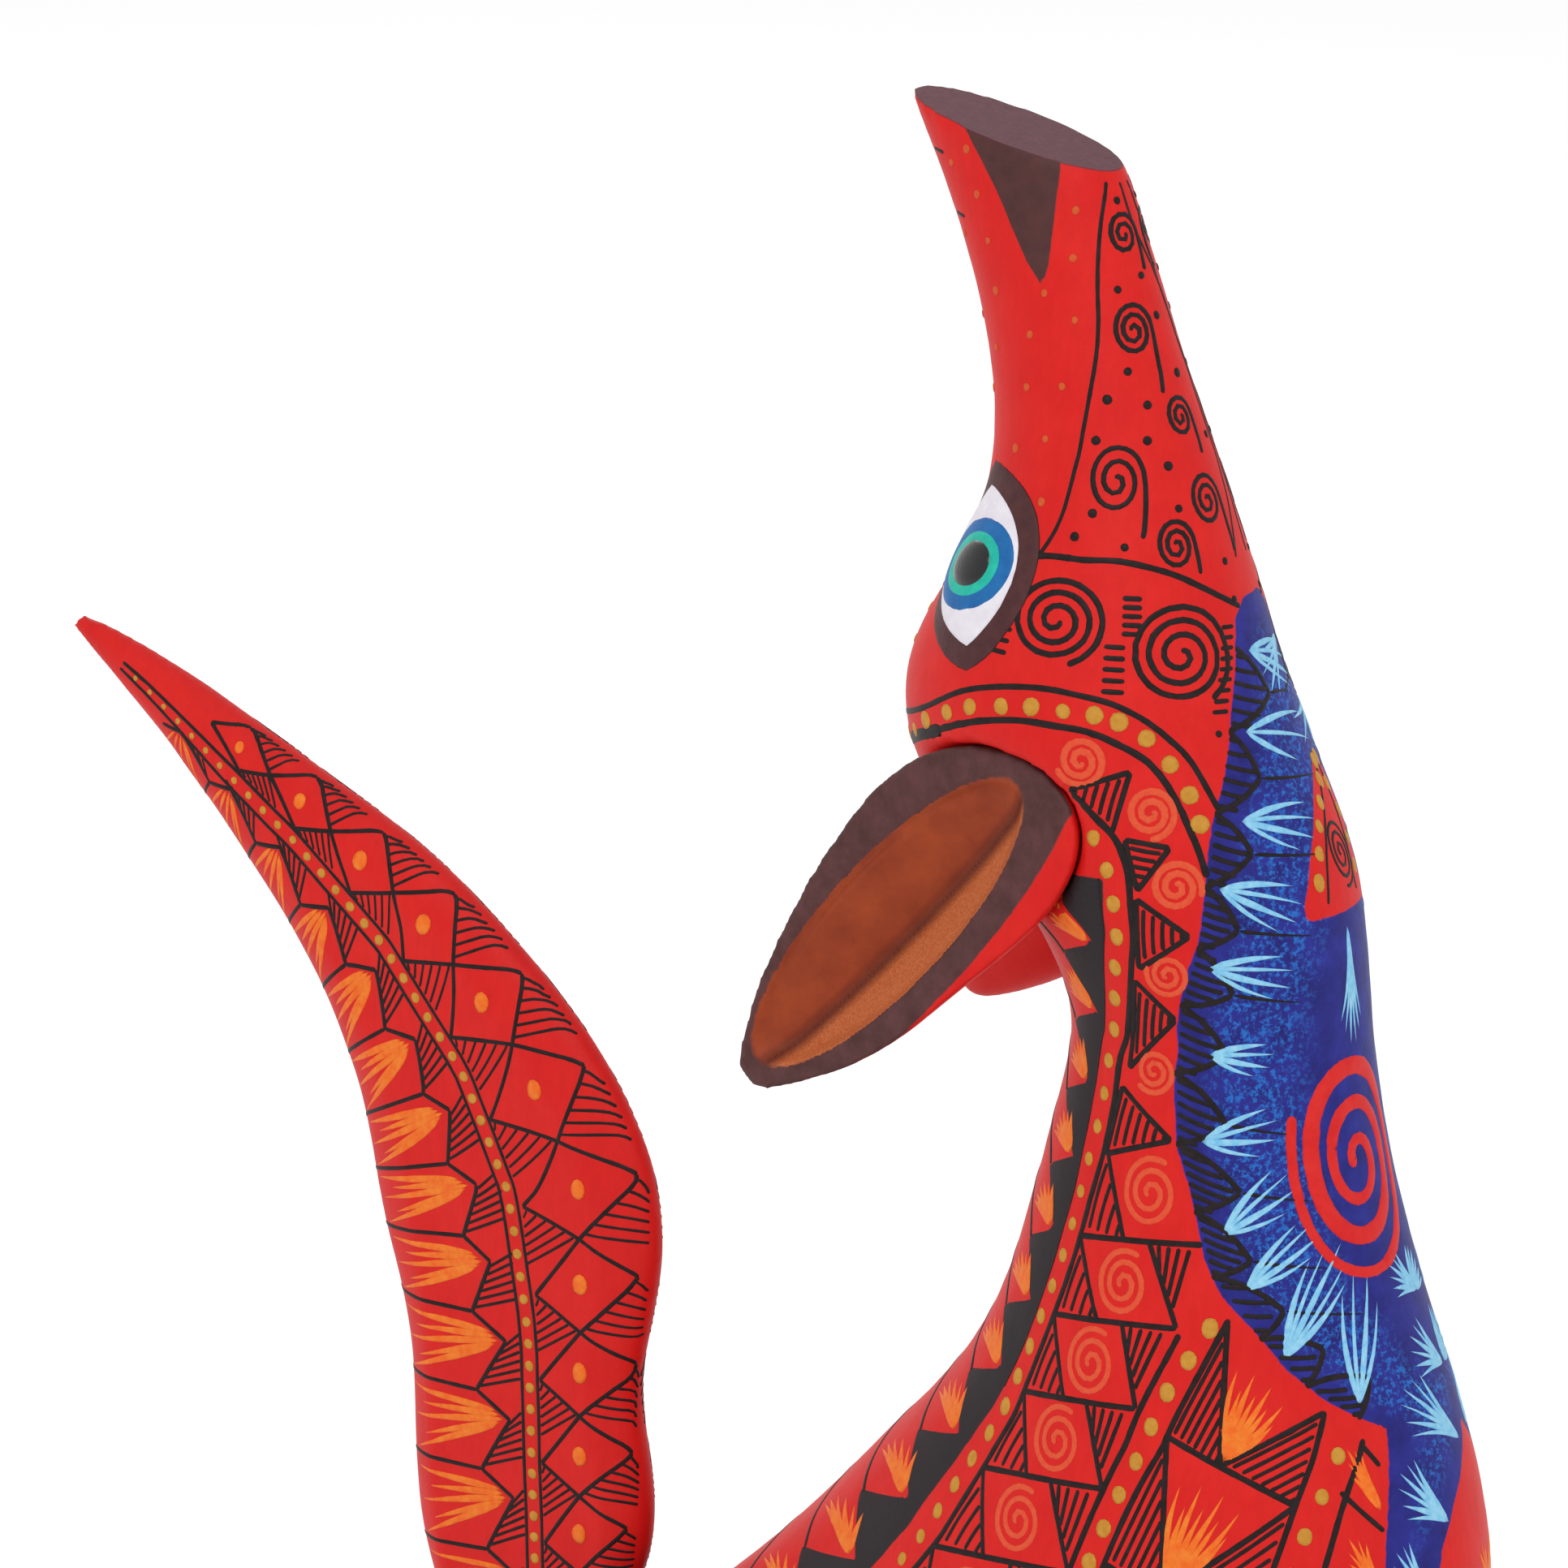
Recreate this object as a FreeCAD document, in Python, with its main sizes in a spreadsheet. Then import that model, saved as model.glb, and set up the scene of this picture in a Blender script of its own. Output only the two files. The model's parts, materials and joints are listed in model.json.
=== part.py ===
import FreeCAD, Part
import os

# A seated animal carved in soft wood, its head thrown back so that the snout points up.
# Frame: +Z up, the animal looks along -Y, its right side is -X, and the origin lies on the
# ground under the middle of the rump.  Every "forward" below is a distance along -Y, and
# every length is in millimetres.

doc = FreeCAD.newDocument("seated_carving")
sizes = doc.addObject("Spreadsheet::Sheet", "Sizes")

# Ellipses along the trunk, from under the ground to the cut end of the nose:
# forward, height, forward lean in degrees, half depth, half width.
TRUNK_SECTIONS = {
    "below_ground": (-4, -8, 8, 38, 23),
    "seat": (-1.5, 6, 14, 41.5, 27),
    "rump": (3.5, 19.5, 17, 44.5, 28),
    "belly": (14.5, 30.8, 15, 41, 28.5),
    "ribs": (26.5, 43.5, 14, 38.8, 27),
    "chest": (38.2, 57, 10.6, 37.8, 25),
    "shoulder": (45.4, 71.5, 6.4, 33.8, 23),
    "withers": (49, 85.5, 3.4, 26.8, 20.5),
    "lower_neck": (49.1, 101, 0, 20.4, 17.5),
    "neck": (49.2, 114, 0, 17, 15),
    "throat": (49.1, 125, 0, 15.4, 14),
    "nape": (45.2, 136, 0, 18, 15.5),
    "cheek": (37.8, 147, 0, 21.5, 17),
    "brow": (34.2, 158, 0, 19.6, 17),
    "bridge": (35.3, 170, 0, 14.6, 13),
    "muzzle": (34.5, 182, 0, 11.2, 9.5),
    "snout": (30.8, 195, 0, 10, 7.6),
    "septum": (27, 205.2, 6, 10.9, 6.4),
    "nose": (23.8, 211.8, 13.7, 12.2, 5.8),
}

# Ellipses down one foreleg, with their distance from the middle plane as a sixth number.
FORELEG_SECTIONS = {
    "shoulder_blade": (54, 84, 12, 5, 4, 9),
    "upper_arm": (58, 66, 10, 14, 9.6, 12),
    "elbow": (64, 44, 8, 11, 9, 13.5),
    "forearm": (68.5, 26, 3, 8.6, 7.4, 14),
    "wrist": (71, 10, 0, 7.4, 6.6, 14),
    "sole": (72, -3, 0, 7.6, 6.8, 14),
}

# Ellipses along the tail blade, from its seat on the rump to its tip.
TAIL_SECTIONS = {
    "tail_root": (-33.1, 36.2, -20, 7.2, 5.6),
    "tail_swell": (-35.6, 41.6, -14, 9.8, 5.6),
    "tail_low": (-36, 48.6, -8, 13.6, 5.4),
    "tail_middle": (-36.7, 64, -2, 15, 5.2),
    "tail_upper": (-37.2, 78, -3, 16.2, 5),
    "tail_broad": (-38.4, 91, -12, 18.2, 4.8),
    "tail_bend": (-44.2, 103, -28, 15.6, 4.6),
    "tail_sweep": (-54, 115, -42, 11.6, 4.3),
    "tail_taper": (-65.6, 124.6, -52, 8, 3.7),
    "tail_thin": (-77.7, 133.2, -57, 5, 2.8),
    "tail_point": (-86.5, 138.8, -58, 3.2, 1.9),
    "tail_tip": (-96.6, 144, -60, 0.9, 0.7),
}

# Ellipses along one ear, in the ear's own frame: way along the ear, offset of the middle
# across the ear, half width, depth of the hull under the flat rim.
EAR_SECTIONS = {
    "ear_top": (-11.4, -2, 1.6, 1.1),
    "ear_crown": (-9.8, -1.7, 5.3, 3.6),
    "ear_shoulder": (-6, -0.7, 8.7, 5.6),
    "ear_broad": (0, 0.4, 10.7, 7),
    "ear_cup": (8, 1.1, 10.8, 7.4),
    "ear_middle": (14, 1, 10.1, 7),
    "ear_waist": (20, 0.7, 9.1, 6.2),
    "ear_narrow": (26, 0.5, 7.5, 5.2),
    "ear_thin": (31, 0.5, 5.5, 4),
    "ear_point": (35, 0.4, 3.4, 2.6),
    "ear_tip": (37.6, 0.4, 1.4, 1.1),
}

# Single sizes: haunch, feet, ear place and turn, pegs and their seats, how far a drill
# runs on into the open, clearances, and how far a cutting block reaches past the figure.
SINGLE_SIZES = {
    "haunch_side": 20, "haunch_forward": 5, "haunch_height": 26,
    "haunch_wide": 13.5, "haunch_long": 27, "haunch_tall": 27,
    "hindfoot_side": 22, "hindfoot_forward": 30, "hindfoot_height": 2.5,
    "hindfoot_wide": 7.6, "hindfoot_long": 21, "hindfoot_tall": 7.5,
    "paw_side": 14, "paw_forward": 74, "paw_height": 2,
    "paw_wide": 7.8, "paw_long": 12.5, "paw_tall": 7,
    "ear_side": 17.2, "ear_forward": 30.9, "ear_height": 142.8,
    "ear_slope": 47.8, "ear_splay": 5, "ear_roll": 6,
    "ear_hollow_wide": 6.6, "ear_hollow_long": 21.5, "ear_hollow_deep": 5,
    "ear_hollow_along": 13.5, "ear_hollow_lift": 0.8,
    "ear_gap": 0.35,
    "ear_peg_radius": 2, "ear_peg_length": 9, "ear_peg_along": -1.5, "ear_peg_inside": 3.5,
    "ear_peg_depth": 4.2, "ear_peg_spare": 0.8,
    "tail_thickness": 7.2, "tail_seat_forward": -33, "tail_seat_height": 36,
    "tail_lean": 20, "tail_seat_radius": 8.2, "tail_seat_reach": 14,
    "tail_peg_radius": 2.6, "tail_peg_in_tail": 11, "tail_peg_in_rump": 13,
    "tail_peg_spare": 0.8, "drill_overrun": 5,
    "peg_clearance": 0.05, "peg_chamfer": 0.5,
    "ground_margin": 60,
}


def section_sizes():
    """Every driving dimension as one list of alias and value pairs."""
    pairs = []
    for table in (TRUNK_SECTIONS, FORELEG_SECTIONS, TAIL_SECTIONS):
        for name, row in table.items():
            words = ("forward", "height", "lean", "half_depth", "half_width", "side")
            for word, value in zip(words, row):
                pairs.append((name + "_" + word, value))
    for name, row in EAR_SECTIONS.items():
        for word, value in zip(("along", "across", "half_width", "depth"), row):
            pairs.append((name + "_" + word, value))
    pairs.extend(SINGLE_SIZES.items())
    return pairs


for number, (alias, value) in enumerate(section_sizes(), start=1):
    sizes.set("A%d" % number, alias)
    sizes.set("B%d" % number, str(value))
    sizes.setAlias("B%d" % number, alias)
doc.recompute()

X_TURN = "create(<<rotation>>; create(<<vector>>; 1; 0; 0); %s)"
Y_TURN = "create(<<rotation>>; create(<<vector>>; 0; 1; 0); %s)"
Z_TURN = "create(<<rotation>>; create(<<vector>>; 0; 0; 1); %s)"


def place(item, x="0", y="0", z="0", turn=""):
    """Bind the placement of one object to expressions on the sheet."""
    turn = turn or X_TURN % "0"
    point = "create(<<vector>>; %s; %s; %s)" % (x, y, z)
    item.setExpression("Placement", "create(<<placement>>; %s; %s)" % (point, turn))


def ellipse(name, major, minor, x, y, z, turn):
    """One ellipse whose radii and place are bound to the sheet."""
    item = doc.addObject("Part::Ellipse", name)
    item.setExpression("MajorRadius", major)
    item.setExpression("MinorRadius", minor)
    place(item, x, y, z, turn)
    return item


def loft(name, sections):
    """A closed solid through a list of ellipses."""
    item = doc.addObject("Part::Loft", name)
    item.Sections = sections
    item.Solid = True
    item.Ruled = False
    return item


def body_loft(name, table):
    """A loft through ellipses that stand across the middle plane and lean forward."""
    sections = []
    for key, row in table.items():
        lean_turn = X_TURN % ("Sizes.%s_lean" % key) + " * " + Z_TURN % "-90"
        side = "-Sizes.%s_side" % key if len(row) == 6 else "0"
        sections.append(ellipse(key + "_ellipse", "Sizes.%s_half_depth" % key,
                                "Sizes.%s_half_width" % key, side,
                                "-Sizes.%s_forward" % key, "Sizes.%s_height" % key, lean_turn))
    return loft(name, sections)


def ear_loft(name, gap):
    """The full hull of an ear, both sides of its rim plane, grown by a gap."""
    sections = []
    last = len(EAR_SECTIONS) - 1
    for number, key in enumerate(EAR_SECTIONS):
        end_shift = {0: " - " + gap, last: " + " + gap}.get(number, "")
        sections.append(ellipse("%s_%s" % (name, key),
                                "Sizes.%s_half_width + %s" % (key, gap),
                                "Sizes.%s_depth + %s" % (key, gap),
                                "Sizes.%s_across" % key,
                                "Sizes.%s_along%s" % (key, end_shift), "0",
                                X_TURN % "90"))
    return loft(name, sections)


def rounded_lump(name, side, forward, height, wide, long, tall):
    """An ellipsoid given by its middle and its three half sizes."""
    item = doc.addObject("Part::Ellipsoid", name)
    item.setExpression("Radius1", tall)
    item.setExpression("Radius2", wide)
    item.setExpression("Radius3", long)
    place(item, side, forward, height)
    return item


def rod(name, radius, length, x, y, z, turn):
    """A cylinder bound to the sheet."""
    item = doc.addObject("Part::Cylinder", name)
    item.setExpression("Radius", radius)
    item.setExpression("Height", length)
    place(item, x, y, z, turn)
    return item


def block(name, length, width, height, x, y, z):
    """A box bound to the sheet, given by its lowest corner."""
    item = doc.addObject("Part::Box", name)
    item.setExpression("Length", length)
    item.setExpression("Width", width)
    item.setExpression("Height", height)
    place(item, x, y, z)
    return item


def cut(name, base, tool):
    """What is left of base when tool is taken away."""
    item = doc.addObject("Part::Cut", name)
    item.Base = base
    item.Tool = tool
    return item


def common(name, base, tool):
    """What two solids share."""
    item = doc.addObject("Part::Common", name)
    item.Base = base
    item.Tool = tool
    return item


def join(name, shapes):
    """Several solids as one."""
    item = doc.addObject("Part::MultiFuse", name)
    item.Shapes = shapes
    return item


def other_side(name, source):
    """The same solid on the other side of the middle plane."""
    item = doc.addObject("Part::Mirroring", name)
    item.Source = source
    item.Normal = FreeCAD.Vector(1, 0, 0)
    return item


def both_sides(source):
    """A right-hand solid and its mirror image."""
    return [source, other_side(source.Name + "_mirror", source)]


def chamfered(name, base):
    """A peg with the sharp edges of both its ends broken."""
    doc.recompute()
    item = doc.addObject("Part::Chamfer", name)
    item.Base = base
    size = SINGLE_SIZES["peg_chamfer"]
    item.Edges = [(n, size, size) for n, edge in enumerate(base.Shape.Edges, start=1)
                  if isinstance(edge.Curve, Part.Circle)]
    return item


# ---- the ear frame: x across the ear, y along it to its tip, z out of its open side
ear_turn = " * ".join([X_TURN % "-Sizes.ear_slope", Y_TURN % "-90",
                       X_TURN % "Sizes.ear_splay", Y_TURN % "Sizes.ear_roll"])
EAR_PLACE = ("-Sizes.ear_side", "-Sizes.ear_forward", "Sizes.ear_height", ear_turn)


def right_ear():
    """The ear: half a hull with a flat rim, hollowed on its open side, with a peg hole."""
    hull = ear_loft("ear_hull", "0")
    margin = "Sizes.ground_margin"
    outer = block("ear_outer_half", margin + " * 2", margin + " * 2", margin,
                  "-" + margin, "-" + margin, "0")
    half = cut("ear_half_hull", hull, outer)
    hollow = rounded_lump("ear_hollow", "Sizes.ear_middle_across", "Sizes.ear_hollow_along",
                          "Sizes.ear_hollow_lift", "Sizes.ear_hollow_wide",
                          "Sizes.ear_hollow_long", "Sizes.ear_hollow_deep")
    hollowed = cut("ear_hollowed", half, hollow)
    hole = rod("ear_hole", "Sizes.ear_peg_radius + Sizes.peg_clearance / 2",
               "Sizes.ground_margin", "0", "Sizes.ear_peg_along",
               "-Sizes.ear_peg_depth - Sizes.ground_margin", X_TURN % "0")
    ear = cut("right_ear", hollowed, hole)
    place(ear, *EAR_PLACE)
    return ear


def right_ear_peg():
    """The dowel that holds the ear, square to its rim plane."""
    dowel = rod("ear_dowel", "Sizes.ear_peg_radius", "Sizes.ear_peg_length", "0",
                "Sizes.ear_peg_along", "-Sizes.ear_peg_depth - Sizes.ear_peg_length",
                X_TURN % "0")
    peg = chamfered("right_ear_peg", dowel)
    place(peg, *EAR_PLACE)
    return peg


def ear_socket():
    """What the head loses for one ear: its hull and its peg, each with clearance."""
    hull = ear_loft("socket_hull", "Sizes.ear_gap")
    hole = rod("socket_hole", "Sizes.ear_peg_radius + Sizes.peg_clearance",
               "Sizes.ear_peg_length + Sizes.ear_peg_spare", "0", "Sizes.ear_peg_along",
               "-Sizes.ear_peg_depth - Sizes.ear_peg_length - Sizes.ear_peg_spare",
               X_TURN % "0")
    socket = join("ear_socket", [hull, hole])
    place(socket, *EAR_PLACE)
    return socket


# ---- the tail frame: z along the tail peg, out of the rump
tail_turn = X_TURN % "-Sizes.tail_lean"
TAIL_PLACE = ("0", "-Sizes.tail_seat_forward", "Sizes.tail_seat_height", tail_turn)


def tail_rod(name, radius, length, start):
    """A cylinder on the tail peg's axis that starts at a given way along it."""
    item = doc.addObject("Part::Cylinder", name)
    item.setExpression("Radius", radius)
    item.setExpression("Height", length)
    lean = "Sizes.tail_lean"
    place(item, "0", "-Sizes.tail_seat_forward + (%s) * sin(%s)" % (start, lean),
          "Sizes.tail_seat_height + (%s) * cos(%s)" % (start, lean), tail_turn)
    return item


def tail():
    """The tail blade: a loft with its two flanks planed flat, and a peg hole."""
    blade = body_loft("tail_blade", TAIL_SECTIONS)
    reach = "Sizes.ground_margin * 4"
    slab = block("tail_slab", "Sizes.tail_thickness", reach, reach,
                 "-Sizes.tail_thickness / 2", "-" + reach + " / 2", "0")
    planed = common("tail_planed", blade, slab)
    hole = tail_rod("tail_hole", "Sizes.tail_peg_radius + Sizes.peg_clearance",
                    "Sizes.tail_peg_in_tail + Sizes.tail_peg_spare + Sizes.drill_overrun",
                    "-Sizes.drill_overrun")
    return cut("tail", planed, hole)


def tail_peg():
    """The dowel between the rump and the tail."""
    dowel = tail_rod("tail_dowel", "Sizes.tail_peg_radius",
                     "Sizes.tail_peg_in_tail + Sizes.tail_peg_in_rump",
                     "-Sizes.tail_peg_in_rump")
    return chamfered("tail_peg", dowel)


def tail_socket():
    """What the rump loses for the tail: a round flat seat and the peg hole."""
    seat = tail_rod("tail_seat", "Sizes.tail_seat_radius", "Sizes.tail_seat_reach", "0")
    depth = "Sizes.tail_peg_in_rump + Sizes.tail_peg_spare"
    hole = tail_rod("tail_socket_hole", "Sizes.tail_peg_radius + Sizes.peg_clearance",
                    depth + " + Sizes.drill_overrun", "-(%s)" % depth)
    return join("tail_socket", [seat, hole])


def carved_body():
    """Trunk, neck and head, the four legs, cut flat on the ground and socketed."""
    trunk = body_loft("trunk", TRUNK_SECTIONS)
    foreleg = body_loft("foreleg", FORELEG_SECTIONS)
    lumps = []
    for name in ("haunch", "hindfoot", "paw"):
        cell = "Sizes." + name
        lumps.append(rounded_lump(name, "-%s_side" % cell, "-%s_forward" % cell,
                                  "%s_height" % cell, "%s_wide" % cell,
                                  "%s_long" % cell, "%s_tall" % cell))
    pieces = [trunk]
    for right_piece in [foreleg] + lumps:
        pieces.extend(both_sides(right_piece))
    whole = join("uncut_body", pieces)
    margin = "Sizes.ground_margin"
    ground = block("ground", margin + " * 4", margin + " * 5", margin,
                   "-%s * 2" % margin, "-%s * 3" % margin, "-" + margin)
    tools = join("body_cuts", [ground] + both_sides(ear_socket()) + [tail_socket()])
    return cut("carved_body", whole, tools)


parts = [carved_body(), right_ear(), right_ear_peg(), tail(), tail_peg()]
parts.append(other_side("left_ear", doc.getObject("right_ear")))
parts.append(other_side("left_ear_peg", doc.getObject("right_ear_peg")))
doc.recompute()

for item in doc.Objects:
    if {"Invalid", "Error"} & set(item.State):
        raise RuntimeError("%s failed: %s" % (item.Name, item.State))

os.makedirs("parts", exist_ok=True)
for item in parts:
    item.Label = item.Name
    shape = item.Shape
    if shape.isNull() or not shape.isValid() or len(shape.Solids) != 1:
        raise RuntimeError("%s is not one valid solid" % item.Name)
    box = shape.BoundBox
    print("%-14s volume %9.1f  x %6.1f %6.1f  y %6.1f %6.1f  z %6.1f %6.1f"
          % (item.Name, shape.Volume, box.XMin, box.XMax, box.YMin, box.YMax,
             box.ZMin, box.ZMax))
    shape.exportStep("parts/%s.step" % item.Name)
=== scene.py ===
"""A seated animal carved in soft wood and painted by hand, on a pale studio floor.

The frame gives the carving, its two ears, its tail and the pegs between them.  The classes
below finish each of them as a maker would: carve the wood smooth, lay the ground coats, then
draw the pattern stroke by stroke.  Lengths are written in millimetres and angles in degrees.
"""

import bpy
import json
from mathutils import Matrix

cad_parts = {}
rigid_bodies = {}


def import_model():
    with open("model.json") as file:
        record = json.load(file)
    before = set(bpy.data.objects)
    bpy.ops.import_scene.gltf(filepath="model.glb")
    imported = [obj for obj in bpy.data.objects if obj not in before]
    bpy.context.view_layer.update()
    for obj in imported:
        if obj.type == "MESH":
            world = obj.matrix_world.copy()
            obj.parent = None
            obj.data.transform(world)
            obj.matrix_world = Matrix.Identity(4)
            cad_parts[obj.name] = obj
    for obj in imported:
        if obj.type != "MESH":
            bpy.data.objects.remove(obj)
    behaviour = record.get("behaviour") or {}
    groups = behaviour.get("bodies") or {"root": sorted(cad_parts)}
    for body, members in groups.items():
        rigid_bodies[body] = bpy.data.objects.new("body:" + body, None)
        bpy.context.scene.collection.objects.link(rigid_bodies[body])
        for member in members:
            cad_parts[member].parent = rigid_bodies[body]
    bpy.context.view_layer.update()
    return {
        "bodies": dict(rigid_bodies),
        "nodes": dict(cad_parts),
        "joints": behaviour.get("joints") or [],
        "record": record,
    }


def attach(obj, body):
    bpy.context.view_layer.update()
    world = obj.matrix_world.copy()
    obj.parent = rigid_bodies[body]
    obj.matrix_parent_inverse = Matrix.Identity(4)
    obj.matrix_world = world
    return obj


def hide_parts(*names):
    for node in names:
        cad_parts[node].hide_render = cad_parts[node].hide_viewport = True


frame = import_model()

import json
import logging
import math
from dataclasses import dataclass, field
from enum import Enum

import bmesh
import bpy
from mathutils import Matrix, Vector, noise
from mathutils.bvhtree import BVHTree

LOG = logging.getLogger("carving")
MM = 0.001

Spot = tuple[float, float]
Guide = list[Spot]
Tint = tuple[float, float, float]


class Side(Enum):
    """The animal's two sides, as the sign of X."""

    RIGHT = -1.0
    LEFT = 1.0


class Taper(Enum):
    """How the width of a stroke changes from its start to its end."""

    EVEN = "even"
    LEAF = "leaf"
    TAIL = "tail"


# Display colours are multiplied by this, since the bright room would wash them out.
DEPTH_OF_TONE = 0.8
# How strongly the ground coats shine.
SATIN = {"Specular IOR Level": 0.2}


def tint(code: str) -> Tint:
    """Turn a six-digit display colour into the linear colour that a shader wants.

    Args:
        code: red, green and blue as two hexadecimal digits each.

    Returns:
        The three linear parts, from 0 to 1.
    """
    parts = [int(code[start:start + 2], 16) / 255 for start in (0, 2, 4)]
    return tuple((p / 12.92 if p <= 0.04045 else ((p + 0.055) / 1.055) ** 2.4) * DEPTH_OF_TONE
                 for p in parts)


def follow(guide: Guide, way: float) -> float:
    """Read a guide line between its points.

    Args:
        guide: pairs of a way along the line and the value there, in falling or rising order.
        way: where to read it; past an end, the end's value holds.

    Returns:
        The value there.
    """
    points = sorted(guide)
    if way <= points[0][0]:
        return points[0][1]
    for (low, first), (high, second) in zip(points, points[1:]):
        if way <= high:
            return first + (second - first) * (way - low) / (high - low)
    return points[-1][1]


def rise(low: float, high: float, value: float) -> float:
    """A smooth step from 0 at low to 1 at high."""
    part = min(1.0, max(0.0, (value - low) / (high - low)))
    return part * part * (3 - 2 * part)


# ---------------------------------------------------------------- shader writing


class Value:
    """A number that varies over a surface and is written as plain arithmetic."""

    def __init__(self, graph: "Graph", socket: bpy.types.NodeSocket) -> None:
        """Wrap one output socket of a graph."""
        self.graph = graph
        self.socket = socket

    def _math(self, operation: str, first: object, second: object = 0.0) -> "Value":
        """Add one Math node and wrap what it gives."""
        made = self.graph.node("ShaderNodeMath", {"operation": operation}, {0: first, 1: second})
        return Value(self.graph, made.outputs[0])

    def __add__(self, other: object) -> "Value":
        """The sum."""
        return self._math("ADD", self, other)

    def __radd__(self, other: object) -> "Value":
        """The sum, number first."""
        return self._math("ADD", other, self)

    def __sub__(self, other: object) -> "Value":
        """The difference."""
        return self._math("SUBTRACT", self, other)

    def __rsub__(self, other: object) -> "Value":
        """The difference, number first."""
        return self._math("SUBTRACT", other, self)

    def __mul__(self, other: object) -> "Value":
        """The product."""
        return self._math("MULTIPLY", self, other)

    def step(self, low: float, high: float) -> "Value":
        """Ramp from 0 at low to 1 at high, held outside them."""
        made = self.graph.node("ShaderNodeMapRange", {"clamp": True},
                               {"Value": self, "From Min": low, "From Max": high})
        return Value(self.graph, made.outputs["Result"])


class Graph:
    """The node tree of one material, with a principled shader at its end."""

    def __init__(self, name: str) -> None:
        """Start a material with only its shader and output.

        Args:
            name: the material's name.
        """
        self.material = bpy.data.materials.new(name)
        self.material.use_nodes = True
        self.tree = self.material.node_tree
        self.tree.nodes.clear()
        output = self.tree.nodes.new("ShaderNodeOutputMaterial")
        self.shader = self.tree.nodes.new("ShaderNodeBsdfPrincipled")
        self.tree.links.new(self.shader.outputs[0], output.inputs[0])
        self.place = self.node("ShaderNodeTexCoord").outputs["Object"]

    def node(self, kind: str, settings: dict | None = None,
             sockets: dict | None = None) -> bpy.types.Node:
        """Add a node, set its settings, then fill or link its sockets.

        Args:
            kind: the node's type.
            settings: properties of the node.
            sockets: values, Values or sockets for its inputs, by name or number.

        Returns:
            The node.
        """
        made = self.tree.nodes.new(kind)
        for name, value in (settings or {}).items():
            setattr(made, name, value)
        for key, value in (sockets or {}).items():
            if isinstance(value, Value):
                value = value.socket
            if isinstance(value, bpy.types.NodeSocket):
                self.tree.links.new(value, made.inputs[key])
            else:
                made.inputs[key].default_value = value
        return made

    def noise(self, grain_mm: float, detail: float = 2.0, rough: float = 0.5,
              stretch: tuple[float, float, float] = (1, 1, 1)) -> Value:
        """Cloudy noise whose lumps are about grain_mm across, stretched along the axes."""
        scaled = self.node("ShaderNodeMapping", {"vector_type": "POINT"},
                           {"Vector": self.place, "Scale": stretch})
        made = self.node("ShaderNodeTexNoise", None,
                         {"Vector": scaled.outputs[0], "Scale": 1 / (grain_mm * MM),
                          "Detail": detail, "Roughness": rough})
        return Value(self, made.outputs["Fac"])

    def attribute(self, name: str) -> Value:
        """A number stored on the points of the piece."""
        made = self.node("ShaderNodeAttribute", {"attribute_name": name})
        return Value(self, made.outputs["Fac"])

    def mix(self, factor: Value, low: object, high: object) -> bpy.types.NodeSocket:
        """Blend two colours.

        Args:
            factor: 0 for low, 1 for high.
            low: a colour socket or three linear parts.
            high: a colour socket or three linear parts.

        Returns:
            The blended colour's socket.
        """
        ends = [(*c, 1.0) if isinstance(c, tuple) else c for c in (low, high)]
        made = self.node("ShaderNodeMix", {"data_type": "RGBA"},
                         {0: factor, 6: ends[0], 7: ends[1]})
        return made.outputs[2]

    def finish(self, colour: object, roughness: object, height: Value | None = None,
               depth_mm: float = 0.02, **fixed: float) -> bpy.types.Material:
        """Join colour, roughness and relief to the shader.

        Args:
            colour: the base colour's socket or linear parts.
            roughness: a Value or a number.
            height: relief, from 0 to 1.
            depth_mm: how deep the relief is.
            fixed: other inputs of the shader that are the same all over.

        Returns:
            The material.
        """
        wanted = {"Base Color": (*colour, 1.0) if isinstance(colour, tuple) else colour,
                  "Roughness": roughness, **fixed}
        if height is not None:
            bump = self.node("ShaderNodeBump", None,
                             {"Height": height, "Distance": depth_mm * MM, "Strength": 1.0})
            wanted["Normal"] = bump.outputs[0]
        for key, value in wanted.items():
            value = value.socket if isinstance(value, Value) else value
            if isinstance(value, bpy.types.NodeSocket):
                self.tree.links.new(value, self.shader.inputs[key])
            else:
                self.shader.inputs[key].default_value = value
        return self.material


# ---------------------------------------------------------------- finishes

RED = tint("DB1410")
DEEP_RED = tint("B80A0C")
BRIGHT_RED = tint("E8241A")
CHARCOAL = tint("231E21")
MAROON = tint("4A2829")
NOSE_BROWN = tint("54252F")
NAVY = tint("17166E")
COBALT = tint("2A2F9C")
SKY_SPECK = tint("1F73CF")


@dataclass(frozen=True)
class Acrylic:
    """One brushed colour, laid on thinly enough for the wood's pores to show."""

    name: str
    colour: str
    second: str
    cloud: float = 1.4
    roughness: float = 0.5
    depth: float = 0.016
    coat: float = 0.0
    shine: float = 0.15

    def material(self) -> bpy.types.Material:
        """The paint, clouded between its two tints, with a faint brushed relief."""
        graph = Graph(self.name)
        cloud = graph.noise(self.cloud, 4.0, 0.65).step(0.32, 0.68)
        fine = graph.noise(0.28, 3.0, 0.6)
        colour = graph.mix(cloud * 0.8 + fine * 0.2, tint(self.colour), tint(self.second))
        gloss = fine * 0.16 + (self.roughness - 0.08)
        extra = {"Coat Weight": self.coat, "Coat Roughness": 0.05,
                 "Specular IOR Level": self.shine}
        return graph.finish(colour, gloss, fine, self.depth, **extra)


def skin_relief(graph: Graph) -> Value:
    """The fine pebbled relief of acrylic over sanded wood, with a little upright grain."""
    pebble = graph.noise(0.42, 2.0, 0.55)
    dust = graph.noise(0.17, 2.0, 0.5)
    fibre = graph.noise(0.5, 2.0, 0.5, (1.0, 1.0, 0.16))
    return pebble * 0.5 + dust * 0.25 + fibre * 0.25


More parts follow.
